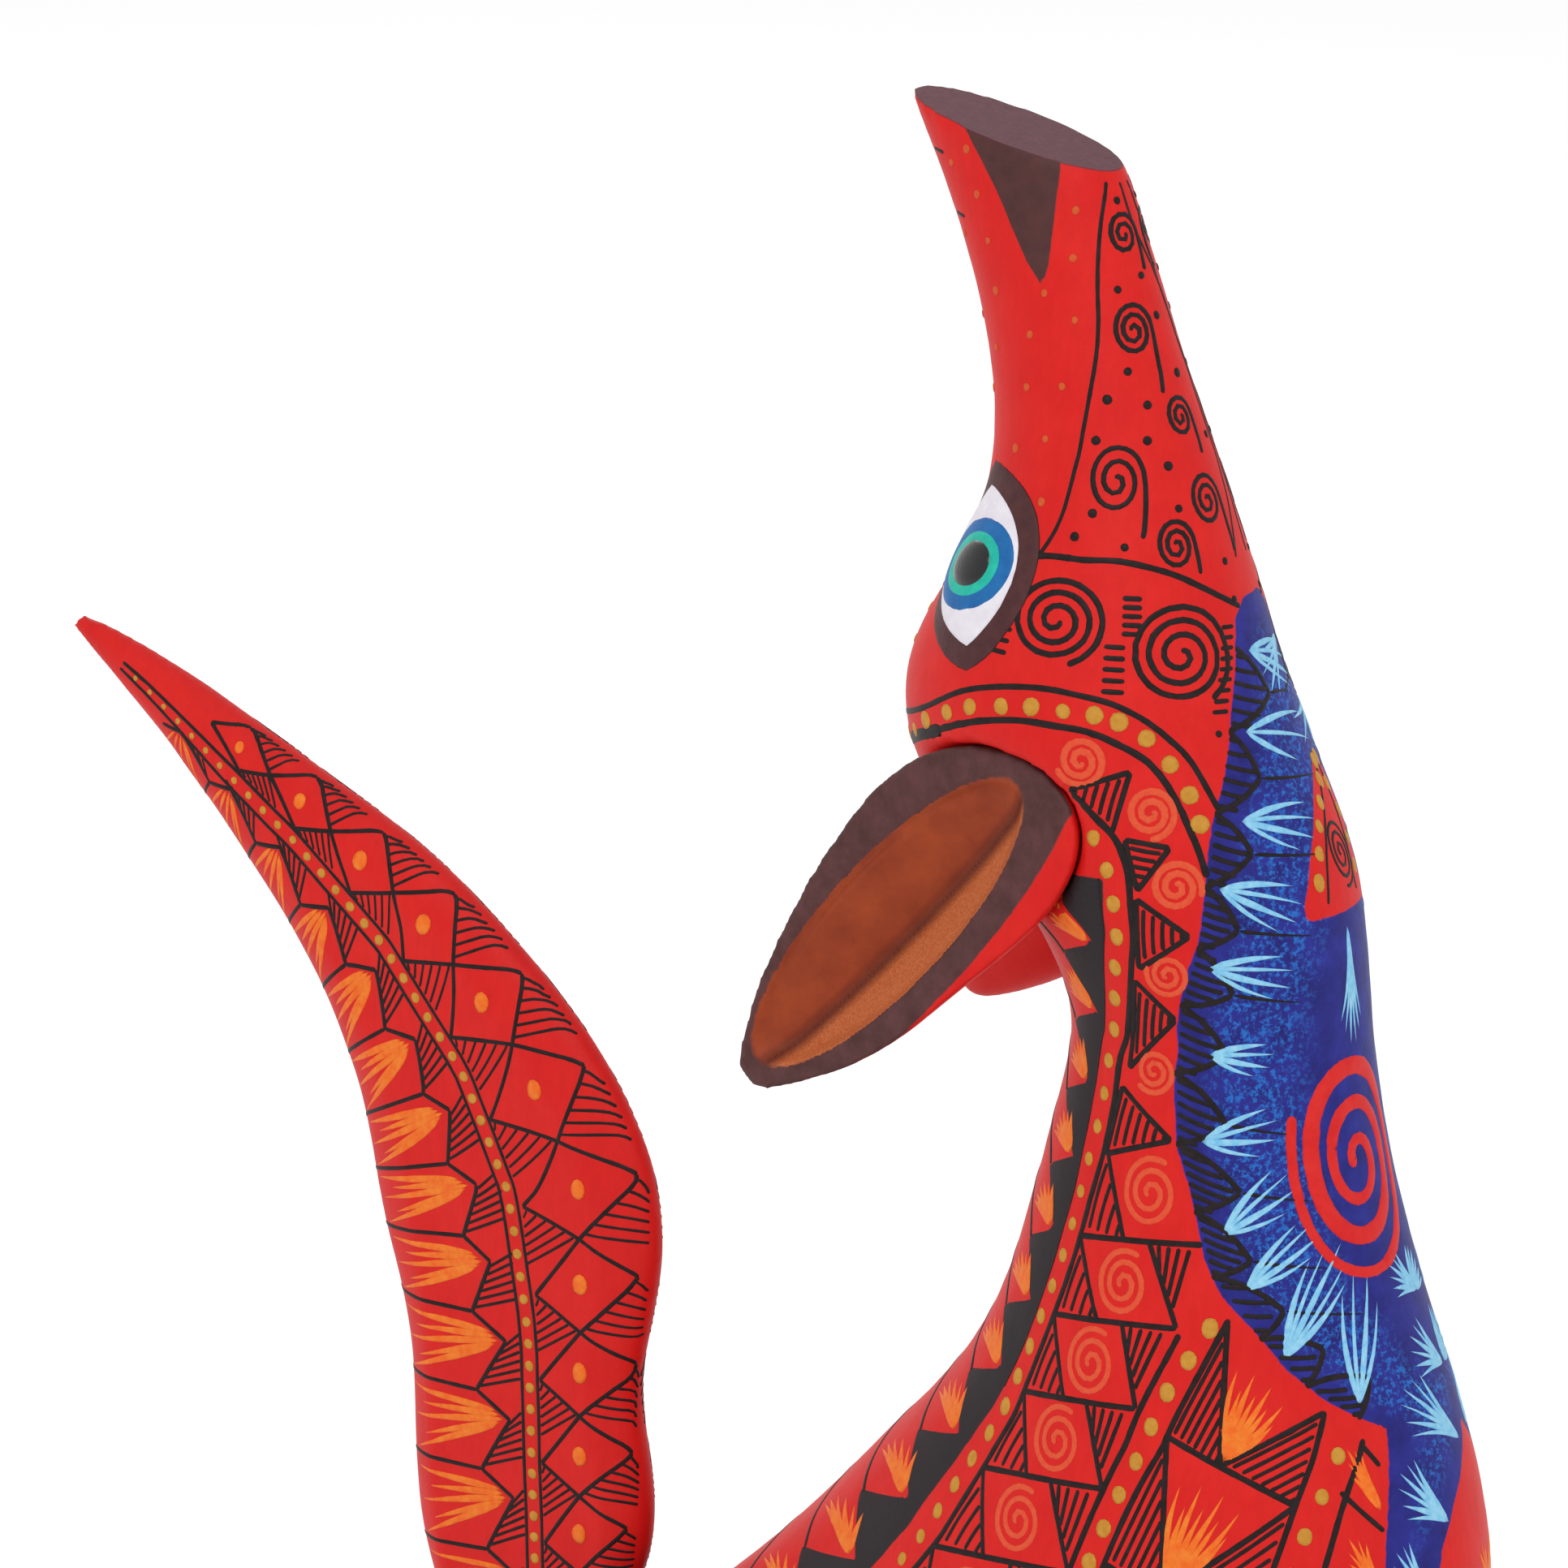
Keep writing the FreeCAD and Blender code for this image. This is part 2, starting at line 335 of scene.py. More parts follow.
def ground_red(graph: Graph) -> bpy.types.NodeSocket:
    """The red ground coat, uneven where the brush ran dry."""
    cloud = graph.noise(7.0, 4.0, 0.6).step(0.35, 0.7)
    streak = graph.noise(0.9, 4.0, 0.65, (1.0, 1.0, 0.25)).step(0.35, 0.75)
    red = graph.mix(cloud * 0.55, RED, BRIGHT_RED)
    return graph.mix(streak * 0.28, red, DEEP_RED)


@dataclass(frozen=True)
class BodyCoat:
    """All the ground coats of the body, parted by the zones stored on its points."""

    name: str = "painted_body_coats"

    def material(self) -> bpy.types.Material:
        """Red ground, navy breast with sky speckle, charcoal back band, brown nose."""
        graph = Graph(self.name)
        wobble = graph.noise(1.6, 3.0, 0.6) * 0.5 - 0.25
        fine = graph.noise(0.26, 3.0, 0.6)
        relief = skin_relief(graph)
        colour = ground_red(graph)

        blue_way = graph.attribute("blue") + wobble
        speck = graph.noise(0.55, 5.0, 0.72).step(0.5, 0.6)
        band = blue_way.step(2.4, 5.5) * (1 - blue_way.step(11.0, 15.5))
        deep = graph.mix(graph.noise(3.0, 3.0, 0.6).step(0.3, 0.7) * 0.75, NAVY, COBALT)
        breast = graph.mix(speck * band * 0.85, deep, SKY_SPECK)
        colour = graph.mix(blue_way.step(-0.08, 0.08), colour, breast)

        panel = (graph.attribute("panel") + wobble * 0.5).step(-0.08, 0.08)
        colour = graph.mix(panel, colour, ground_red(graph))

        soot = graph.mix(fine.step(0.35, 0.7) * 0.3, CHARCOAL, tint("3A3035"))
        charcoal = (graph.attribute("charcoal") + wobble * 0.6).step(-0.08, 0.08)
        colour = graph.mix(charcoal, colour, soot)

        brown = graph.mix(graph.noise(1.8, 3.0, 0.6).step(0.3, 0.7) * 0.7, MAROON, tint("5C3431"))
        patch = (graph.attribute("brown") + wobble * 0.3).step(-0.06, 0.06)
        colour = graph.mix(patch, colour, brown)

        cut = graph.mix(graph.noise(1.1, 4.0, 0.7).step(0.3, 0.75), NOSE_BROWN, tint("66323D"))
        nose = graph.attribute("nose_cut").step(-0.05, 0.12)
        colour = graph.mix(nose, colour, cut)
        gloss = 0.43 + fine * 0.18 + charcoal * 0.06
        return graph.finish(colour, gloss, relief, 0.045, **SATIN)


@dataclass(frozen=True)
class EarCoat:
    """Brown rim, orange-brown hollow in two facets with painted light and shade and a dark painted shade
    line in its crease, red back.
    """

    name: str = "painted_ear_coats"

    def material(self) -> bpy.types.Material:
        """The ear's coats, parted by the zones stored on its points, with painted light and shade in the
        hollow.
        """
        graph = Graph(self.name)
        wobble = graph.noise(1.4, 3.0, 0.6) * 0.3 - 0.15
        fine = graph.noise(0.24, 3.0, 0.6)
        rim_tone = graph.mix(graph.noise(2.2, 4.0, 0.65).step(0.3, 0.7), tint("4A2A28"),
                             tint("61393A"))
        rim = (graph.attribute("rim") + wobble).step(-0.08, 0.08)
        colour = graph.mix(rim, ground_red(graph), rim_tone)
        # Painted shade: a darker orange for the facet of the hollow that is turned from the light.
        along = graph.noise(2.4, 4.0, 0.6, (0.45, 0.45, 0.45)).step(0.3, 0.7)
        shaded_facet_orange = graph.mix(along, tint("8A3214"), tint("A8451D"))
        # Painted light: a paler orange for the facet that is turned to the light.
        light = graph.mix(fine.step(0.4, 0.62), tint("BE5A2C"), tint("CC7648"))
        painted_light_share = (graph.attribute("facet") + wobble * 2.0).step(-0.7, 0.5)
        hollow = graph.mix(painted_light_share, shaded_facet_orange, light)
        # Painted shade: a dark brown line along the crease where the two facets meet.
        crease = graph.attribute("crease")
        hollow = graph.mix(1 - crease.step(0.0, 1.3), hollow, tint("5E1D0C"))
        inside = (graph.attribute("hollow") + wobble).step(-0.1, 0.1)
        colour = graph.mix(inside, colour, hollow)
        return graph.finish(colour, 0.45 + fine * 0.2, skin_relief(graph), 0.05, **SATIN)


@dataclass(frozen=True)
class TailCoat:
    """The plain red coat of the tail, with painted shade: a deeper red on its planed edges."""

    name: str = "painted_tail_coats"

    def material(self) -> bpy.types.Material:
        """Red, turning to a deeper red along the planed edges as painted shade."""
        graph = Graph(self.name)
        fine = graph.noise(0.26, 3.0, 0.6)
        # Painted shade: points that face away from the flanks are mixed towards a deeper red.
        edge = graph.attribute("edge").step(0.0, 1.0)
        colour = graph.mix(edge * 0.45, ground_red(graph), DEEP_RED)
        return graph.finish(colour, 0.43 + fine * 0.18, skin_relief(graph), 0.045, **SATIN)


@dataclass(frozen=True)
class BareWood:
    """Unpainted soft wood, turned to a peg."""

    name: str = "bare_peg_wood"

    def material(self) -> bpy.types.Material:
        """Pale wood with growth rings, fibres and open pores."""
        graph = Graph(self.name)
        fibre = graph.noise(0.35, 4.0, 0.6, (1.0, 1.0, 0.12))
        rings = graph.node("ShaderNodeTexWave", {"wave_type": "RINGS", "rings_direction": "Z"},
                           {"Vector": graph.place, "Scale": 320.0, "Distortion": 3.0,
                            "Detail": 3.0, "Detail Scale": 2.0})
        ring = Value(graph, rings.outputs["Fac"])
        colour = graph.mix(ring * 0.6 + fibre * 0.3, tint("D9BE93"), tint("B08A5A"))
        return graph.finish(colour, 0.62 + fibre * 0.2, fibre, 0.05)


PAINTS = {
    "black": Acrylic("line_charcoal", "17120F", "2A1F22", roughness=0.48),
    "thin_black": Acrylic("fine_line_charcoal", "2A1B1C", "401F20", roughness=0.5),
    "ochre": Acrylic("dab_ochre", "C08327", "D39A3E", cloud=0.8, roughness=0.46),
    "faint": Acrylic("dab_faint_orange", "D24A26", "D4622E", cloud=0.6, roughness=0.5),
    "coral": Acrylic("swirl_coral", "E0482B", "E45E3A", cloud=0.5, roughness=0.5),
    "orange": Acrylic("brush_orange", "F0601A", "F58A2E", cloud=1.1, roughness=0.48),
    "sky": Acrylic("brush_sky", "6DBBE6", "A5DDF4", cloud=0.9, roughness=0.45),
    "swirl_red": Acrylic("swirl_red", "D61A1C", "E2302A", cloud=2.0, roughness=0.47),
    "eye_brown": Acrylic("eye_surround_brown", "48282A", "5A3334", roughness=0.5, depth=0.04),
    "eye_white": Acrylic("eye_white", "E6DFEA", "F3EFF6", roughness=0.42, depth=0.05),
    "eye_blue": Acrylic("eye_blue", "1A5FA3", "2373B4", roughness=0.4, depth=0.04),
    "eye_ring": Acrylic("eye_turquoise", "13AF9B", "2CC9AE", roughness=0.4, depth=0.03),
    "pupil": Acrylic("eye_pupil", "08080A", "15151A", roughness=0.24, depth=0.05, coat=0.6),
}


# ---------------------------------------------------------------- wood and paint tools


def carve_copy(source: bpy.types.Object, grain_mm: float, passes: int) -> bmesh.types.BMesh:
    """Rebuild a node of the frame as one even skin that can be carved.

    Args:
        source: the node to copy.
        grain_mm: the spacing of the new skin's points.
        passes: how often the whole skin is smoothed.

    Returns:
        The skin, in metres.
    """
    shell = bmesh.new()
    shell.from_mesh(source.data)
    bmesh.ops.remove_doubles(shell, verts=shell.verts, dist=0.002 * MM)
    mesh = bpy.data.meshes.new("rough_block")
    shell.to_mesh(mesh)
    shell.free()
    block = bpy.data.objects.new("rough_block", mesh)
    bpy.context.scene.collection.objects.link(block)
    remesh = block.modifiers.new("even_skin", "REMESH")
    remesh.mode = "VOXEL"
    remesh.voxel_size = grain_mm * MM
    depsgraph = bpy.context.evaluated_depsgraph_get()
    even = bpy.data.meshes.new_from_object(block.evaluated_get(depsgraph))
    bpy.data.objects.remove(block)
    skin = bmesh.new()
    skin.from_mesh(even)
    bpy.data.meshes.remove(even)
    bpy.data.meshes.remove(mesh)
    for _ in range(passes):
        soften(skin, list(skin.verts), 0.5)
    return skin


def soften(skin: bmesh.types.BMesh, points: list, strength: float) -> None:
    """Sand some points of a skin towards their neighbours.

    Args:
        skin: the skin.
        points: the points to move.
        strength: how far they move, from 0 to 1.
    """
    bmesh.ops.smooth_vert(skin, verts=points, factor=strength, use_axis_x=True,
                          use_axis_y=True, use_axis_z=True)


class Skin:
    """A finished surface that paint can be laid on."""

    def __init__(self, skin: bmesh.types.BMesh) -> None:
        """Remember the surface and its outward directions."""
        skin.normal_update()
        skin.verts.index_update()
        self.outs = [v.normal.copy() for v in skin.verts]
        self.faces = [tuple(v.index for v in f.verts) for f in skin.faces]
        self.tree = BVHTree.FromPolygons([v.co for v in skin.verts], self.faces)

    def under(self, point: Vector) -> tuple[Vector, Vector]:
        """The place on the surface nearest a point, and the way out of it."""
        place, _, face, _ = self.tree.find_nearest(point)
        out = Vector()
        for corner in self.faces[face]:
            out += self.outs[corner]
        return place, out.normalized()

    def outward(self, start: Vector, way: Vector) -> Vector:
        """Where a straight line from inside comes out of the surface."""
        place, _, _, _ = self.tree.ray_cast(start, way)
        return place if place is not None else self.under(start + way * 20 * MM)[0]


def as_piece(name: str, skin: bmesh.types.BMesh, finish: bpy.types.Material,
             body: str) -> bpy.types.Object:
    """Turn a finished mesh into a piece that rides on a body.

    Args:
        name: the piece's name.
        skin: its mesh, freed here.
        finish: its material.
        body: the body that it moves with.

    Returns:
        The piece.
    """
    mesh = bpy.data.meshes.new(name)
    skin.to_mesh(mesh)
    skin.free()
    mesh.shade_smooth()
    mesh.materials.append(finish)
    piece = bpy.data.objects.new(name, mesh)
    bpy.context.scene.collection.objects.link(piece)
    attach(piece, body)
    LOG.info("%s: %d faces on %s", name, len(mesh.polygons), body)
    return piece


# Across a stroke: way from its middle in half widths, and height in film thicknesses.
STROKE_PROFILE = ((0.0, -2.4), (-1.0, -0.6), (-0.62, 0.9), (0.0, 1.08), (0.62, 0.9),
                  (1.0, -0.6), (0.0, -2.4))


@dataclass
class Brush:
    """Lays strokes, dabs and discs of one colour on a skin and gathers them in one piece.

    Attributes:
        skin: the surface under the paint.
        film: how thick a stroke is.
        step: how far apart the rows of a stroke's mesh are.
        wander: the share by which a stroke's width varies.
        ragged: the share by which a dab's edge varies.
        gathered: the mesh of everything laid so far.
        loads: how many strokes, dabs and discs that is.
    """

    skin: Skin
    film: float = 0.055
    step: float = 0.75
    wander: float = 0.14
    ragged: float = 0.13
    gathered: bmesh.types.BMesh = field(default_factory=bmesh.new)
    loads: int = 0

    def _keep(self, part: bmesh.types.BMesh) -> None:
        """Close one stroke or dab and add it to the rest."""
        bmesh.ops.remove_doubles(part, verts=part.verts, dist=0.004 * MM)
        bmesh.ops.recalc_face_normals(part, faces=part.faces)
        mesh = bpy.data.meshes.new("stroke")
        part.to_mesh(mesh)
        part.free()
        self.gathered.from_mesh(mesh)
        bpy.data.meshes.remove(mesh)
        self.loads += 1

    def stroke(self, path: list[Vector], width: float, taper: Taper = Taper.EVEN) -> None:
        """Lay one stroke along a path.

        Args:
            path: points near the skin, in metres.
            width: the stroke's widest width.
            taper: how the width changes.
        """
        ways = [0.0]
        for first, second in zip(path, path[1:]):
            ways.append(ways[-1] + (second - first).length)
        length = ways[-1]
        if length < 0.3 * MM:
            return
        half = width * MM / 2
        count = max(4, round(length / (self.step * MM)))
        stops = [length * n / count for n in range(count + 1)]
        if taper is Taper.EVEN:
            cap = min(half, length / 3)
            stops = [s for s in stops if cap < s < length - cap]
            stops = [0.0, cap * 0.13, cap * 0.5, cap, *stops,
                     length - cap, length - cap * 0.5, length - cap * 0.13, length]
        rows = []
        for stop in stops:
            number = next(n for n, way in enumerate(ways) if way >= stop - 1e-9)
            number = max(1, number)
            span = max(1e-9, ways[number] - ways[number - 1])
            point = path[number - 1].lerp(path[number], (stop - ways[number - 1]) / span)
            rows.append(self.skin.under(point))
        part = bmesh.new()
        columns = len(STROKE_PROFILE)
        bmesh.ops.create_grid(part, x_segments=columns - 1, y_segments=len(rows) - 1, size=MM)
        part.verts.ensure_lookup_table()
        for number, (place, out) in enumerate(rows):
            before = rows[max(0, number - 1)][0]
            after = rows[min(len(rows) - 1, number + 1)][0]
            across = (after - before).cross(out).normalized()
            share = self._share(taper, stops[number] / length, stops[number] / half,
                                (length - stops[number]) / half)
            share *= 1 + self.wander * noise.noise(place * 900)
            film = self.film * MM * min(1.0, share * 2.5)
            for column, (off, lift) in enumerate(STROKE_PROFILE):
                spot, way_out = place + across * (off * half * share), out
                if half > 0.45 * MM and off:
                    spot, way_out = self.skin.under(spot)
                part.verts[number * columns + column].co = spot + way_out * (lift * film)
        self._keep(part)

    @staticmethod
    def _share(taper: Taper, part: float, from_start: float, from_end: float) -> float:
        """How wide a stroke is at a place along it, from 0 to 1.

        Args:
            taper: how the width changes.
            part: the place, from 0 at the start to 1 at the end.
            from_start: its distance from the start, in half widths.
            from_end: its distance from the end, in half widths.

        Returns:
            The share of the full width.
        """
        near = min(1.0, from_start)
        blunt = math.sqrt(max(0.0, 1 - (1 - near) ** 2))
        if taper is Taper.LEAF:
            return max(0.0, math.sin(math.pi * min(1.0, part) ** 0.62)) ** 0.9
        if taper is Taper.TAIL:
            return blunt * max(0.0, 1 - part) ** 0.6
        near = min(1.0, from_end)
        return min(blunt, math.sqrt(max(0.0, 1 - (1 - near) ** 2)))

    def dab(self, centre: Vector, radius: float, lift: float = 0.13,
            stretch: float = 1.0) -> None:
        """Press one round dab of thick paint.

        Args:
            centre: its middle, in metres.
            radius: its half width.
            lift: how high its middle stands.
            stretch: its height over its width.
        """
        place, out = self.skin.under(centre)
        across = Vector((0, 0, 1)).cross(out).normalized()
        up = out.cross(across)
        part = bmesh.new()
        bmesh.ops.create_uvsphere(part, u_segments=11, v_segments=5, radius=1.0)
        for point in part.verts:
            x, y, z = point.co
            edge = 1 + self.ragged * noise.noise(place * 2000 + Vector((x, y, 0)))
            spot = place + (across * x + up * (y * stretch)) * (radius * MM * edge)
            near, way_out = self.skin.under(spot)
            point.co = near + way_out * (z * lift * MM if z > 0 else z * 0.1 * MM)
        self._keep(part)

    def disc(self, centre: Vector, across: Vector, up: Vector, outline: list[float],
             lift: float, crown: float = 1.0) -> None:
        """Lay a filled patch whose edge is given all round.

        Args:
            centre: its middle, in metres.
            across: the first direction of its outline.
            up: the second direction.
            outline: distances from the middle to the edge, evenly all round.
            lift: how high its middle stands.
            crown: below 1 the patch is flat with a soft edge, at 1 it is a round dome.
        """
        part = bmesh.new()
        bmesh.ops.create_uvsphere(part, u_segments=len(outline), v_segments=16, radius=1.0)
        for point in part.verts:
            x, y, z = point.co
            flat = math.hypot(x, y)
            turn = (math.atan2(y, x) / math.tau) % 1.0 * len(outline)
            low = outline[int(turn) % len(outline)]
            high = outline[(int(turn) + 1) % len(outline)]
            reach = low + (high - low) * (turn - int(turn))
            scale = reach * MM
            spot = centre + (across * x + up * y) * scale if flat > 1e-6 else centre
            near, way_out = self.skin.under(spot)
            height = abs(z) ** crown * lift if z > 0 else z * 0.15
            point.co = near + way_out * (height * MM)
        self._keep(part)

    def piece(self, name: str, paint: str, body: str, slot: str) -> None:
        """Hand over everything laid so far as one piece, if there is anything."""
        if self.loads:
            as_piece(name, self.gathered, PAINTS[paint].material(), body)
        else:
            self.gathered.free()


# ---------------------------------------------------------------- where paint goes


# The painted middle line of the front wanders off the carving's own: height, angle.
# On the left side, angles past FOLD_END are plain mirror images of those on the right.
FRONT_LINE: Guide = [(212, 0), (202, -3), (195, -12), (187, -20), (178, -18), (170, -10),
                     (160, -12), (150, -15), (140, -5), (112, -2), (95, -14), (75, -15),
                     (55, 0)]
FOLD_END = 130.0


@dataclass
class Chart:
    """Tells places on a limb by height and by the angle round its middle line.

    The angle is 0 at the front, 90 on the flank and 180 at the back.  The same numbers on the
    left side give the matching place there.
    """

    skin: Skin
    middle: Guide
    offset: float = 0.0
    front_line: Guide = field(default_factory=lambda: [(0.0, 0.0)])

    def signed(self, height: float, angle: float, side: Side) -> float:
        """The angle from the front, positive on the right, of a charted angle."""
        if side is Side.RIGHT:
            return angle
        front = follow(self.front_line, height)
        share = max(0.0, (FOLD_END - angle) / (FOLD_END - front))
        return 2 * front * share - angle

    def folded(self, height: float, signed: float) -> float:
        """The charted angle of a place, whichever side it is on."""
        front = follow(self.front_line, height)
        if signed >= front:
            return signed
        if signed <= -FOLD_END:
            return -signed
        pull = 2 * front / (FOLD_END - front)
        return (pull * FOLD_END - signed) / (1 + pull)

    def place(self, spot: Spot, side: Side) -> Vector:
        """The place on the skin, in metres, of a charted height and angle."""
        height, angle = spot
        turn = math.radians(self.signed(height, angle, side))
        start = Vector((self.offset * side.value, -follow(self.middle, height), height)) * MM
        if self.offset and side is Side.LEFT:
            turn = -math.radians(angle)
        return self.skin.outward(start, Vector((-math.sin(turn), -math.cos(turn), 0)))

    def chart(self, point: Vector) -> tuple[float, float, float]:
        """Height, folded angle and distance from the middle line of a point in metres."""
        x, y, height = point / MM
        ahead = -y - follow(self.middle, height)
        signed = math.degrees(math.atan2(-x, ahead))
        return height, self.folded(height, signed), math.hypot(abs(x) - self.offset, ahead)


@dataclass
class Painter:
    """Draws motifs on one side of a charted limb with a set of brushes."""

    chart: Chart
    side: Side
    brushes: dict[str, Brush]

    def at(self, spot: Spot) -> Vector:
        """The place of a charted spot."""
        return self.chart.place(spot, self.side)

    def frame(self, spot: Spot) -> tuple[Vector, Vector, Vector]:
        """A spot with the directions to the front and upwards along the skin."""
        place, out = self.chart.skin.under(self.at(spot))
        up = (Vector((0, 0, 1)) - out * out.z).normalized()
        rear = out.cross(up) * (1.0 if self.side is Side.RIGHT else -1.0)
        return place, -rear, up

    def curve(self, guide: Guide) -> list[Vector]:
        """A smooth path on the skin through charted spots."""
        path = []
        ends = [guide[0], *guide, guide[-1]]
        for a, b, c, d in zip(ends, ends[1:], ends[2:], ends[3:]):
            pieces = max(2, round(math.hypot(c[0] - b[0], (c[1] - b[1]) * 0.3) / 1.2))
            for n in range(pieces):
                way = n / pieces
                spot = tuple(0.5 * (2 * q + (r - p) * way + (2 * p - 5 * q + 4 * r - s) * way ** 2
                                    + (3 * q - p - 3 * r + s) * way ** 3)
                             for p, q, r, s in zip(a, b, c, d))
                path.append(self.at(spot))
        path.append(self.at(guide[-1]))
        return path

    def line(self, paint: str, guide: Guide, width: float, taper: Taper = Taper.EVEN) -> None:
        """One stroke through charted spots."""
        self.brushes[paint].stroke(self.curve(guide), width, taper)

    def short(self, paint: str, start: Vector, end: Vector, width: float,
              taper: Taper = Taper.EVEN, bow: float = 0.0) -> None:
        """One short stroke between two places, bowed by a share of its length.

        Args:
            paint: the colour.
            start: where the brush lands.
            end: where it lifts.
            width: the stroke's width.
            taper: how the width changes.
            bow: how far the middle leaves the straight line.
        """
        _, out = self.chart.skin.under(start)
        across = (end - start).cross(out) * bow
        path = [start.lerp(end, n / 6) + across * math.sin(math.pi * n / 6) for n in range(7)]
        self.brushes[paint].stroke(path, width, taper)

    def dabs(self, paint: str, spots: Guide, radius: float, stretch: float = 1.0) -> None:
        """A dab on each spot, each a little different."""
        for number, spot in enumerate(spots):
            size = radius * (1 + 0.12 * math.sin(number * 2.3 + spot[0]))
            self.brushes[paint].dab(self.at(spot), size, stretch=stretch)

    def beads(self, paint: str, guide: Guide, pitch: float, radius: float,
              stretch: float = 1.0) -> None:
        """A row of dabs along a guide line.

        Args:
            paint: the colour.
            guide: charted spots of the row.
            pitch: the distance from one dab to the next.
            radius: a dab's half width.
            stretch: a dab's height over its width.
        """
        path = self.curve(guide)
        way, due = 0.0, pitch / 2
        for first, second in zip(path, path[1:]):
            span = (second - first).length / MM
            while way + span >= due:
                size = radius * (1 + 0.13 * math.sin(due * 1.7))
                self.brushes[paint].dab(first.lerp(second, (due - way) / span), size,
                                        stretch=stretch)
                due += pitch
            way += span

    def spiral(self, paint: str, spot: Spot, radius: float, turns: float, width: float,
               tail: Spot | None = None, begin: float = 0.0, tall: float = 1.0) -> None:
        """A spiral that winds outwards and may run on in a tail.

        Args:
            paint: the colour.
            spot: its middle.
            radius: its outer radius.
            turns: how many turns it makes.
            width: the stroke's width.
            tail: how far the tail runs to the front and up past the last turn.
            begin: the angle at which the last turn ends, 0 towards the front.
            tall: its height over its width.
        """
        place, front, up = self.frame(spot)
        count = round(turns * 18)
        path = []
        for n in range(count + 1):
            part = n / count
            turn = (1 - part) * turns * math.tau + math.radians(begin)
            reach = radius * (0.06 + 0.94 * part ** 0.85) * MM
            path.append(place + front * (math.cos(turn) * reach)
                        + up * (math.sin(turn) * reach * tall))
        if tail:
            last = path[-1]
            run = (front * tail[0] + up * tail[1]) * MM
            heading = (path[-1] - path[-2]).normalized() * run.length * 0.6
            for n in range(1, 9):
                part = n / 8
                path.append(last + heading * (part * (1 - part)) + run * part ** 1.1)
        self.brushes[paint].stroke(path, width)

    def fan(self, paint: str, base: Spot, first: Spot, last: Spot, count: int,
            width: float) -> None:
        """Leaf-shaped strokes that spread from one base to a row of ends.

        Args:
            paint: the colour.
            base: where they all start.
            first: where the first ends.
            last: where the last ends.
            count: how many there are.
            width: the widest width of each.
        """
        start = self.at(base)
        ends = self.at(first), self.at(last)
        for n in range(count):
            share = n / max(1, count - 1)
            middle = 1 - abs(share - 0.5) * 0.5 if count > 2 else 1.0
            end = start.lerp(ends[0].lerp(ends[1], share), middle)
            self.short(paint, start, end, width * (1.15 if n % 2 == 0 else 0.8), Taper.LEAF,
                       (share - 0.5) * 0.1)

    def hatch(self, corners: tuple[Vector, Vector, Vector], count: int, width: float,
              outline: bool = True) -> None:
        """A black triangle filled with strokes beside its far edge.

        Args:
            corners: the apex and the two ends of the far edge.
            count: how many strokes.
            width: a stroke's width.
            outline: whether its edges are drawn too.
        """
        apex, one, two = corners
        if outline:
            for start, end in ((apex, one), (one, two), (two, apex)):
                self.short("black", start, end, width * 1.15)
        for n in range(count):
            share = (n + 0.8) / (count + 0.6)
            start, end = apex.lerp(one, share), apex.lerp(two, share)
            self.short("black", start.lerp(end, 0.08), start.lerp(end, 0.9), width * 0.9,
                       Taper.EVEN, 0.02)


# ---------------------------------------------------------------- the body


# The plane that ends the nose: a point on it and the way out of it.
CUT_PLACE = Vector((0.0, -23.8, 211.8))
CUT_LEAN = math.radians(13.7)
CUT_WAY = Vector((0.0, -math.sin(CUT_LEAN), math.cos(CUT_LEAN)))


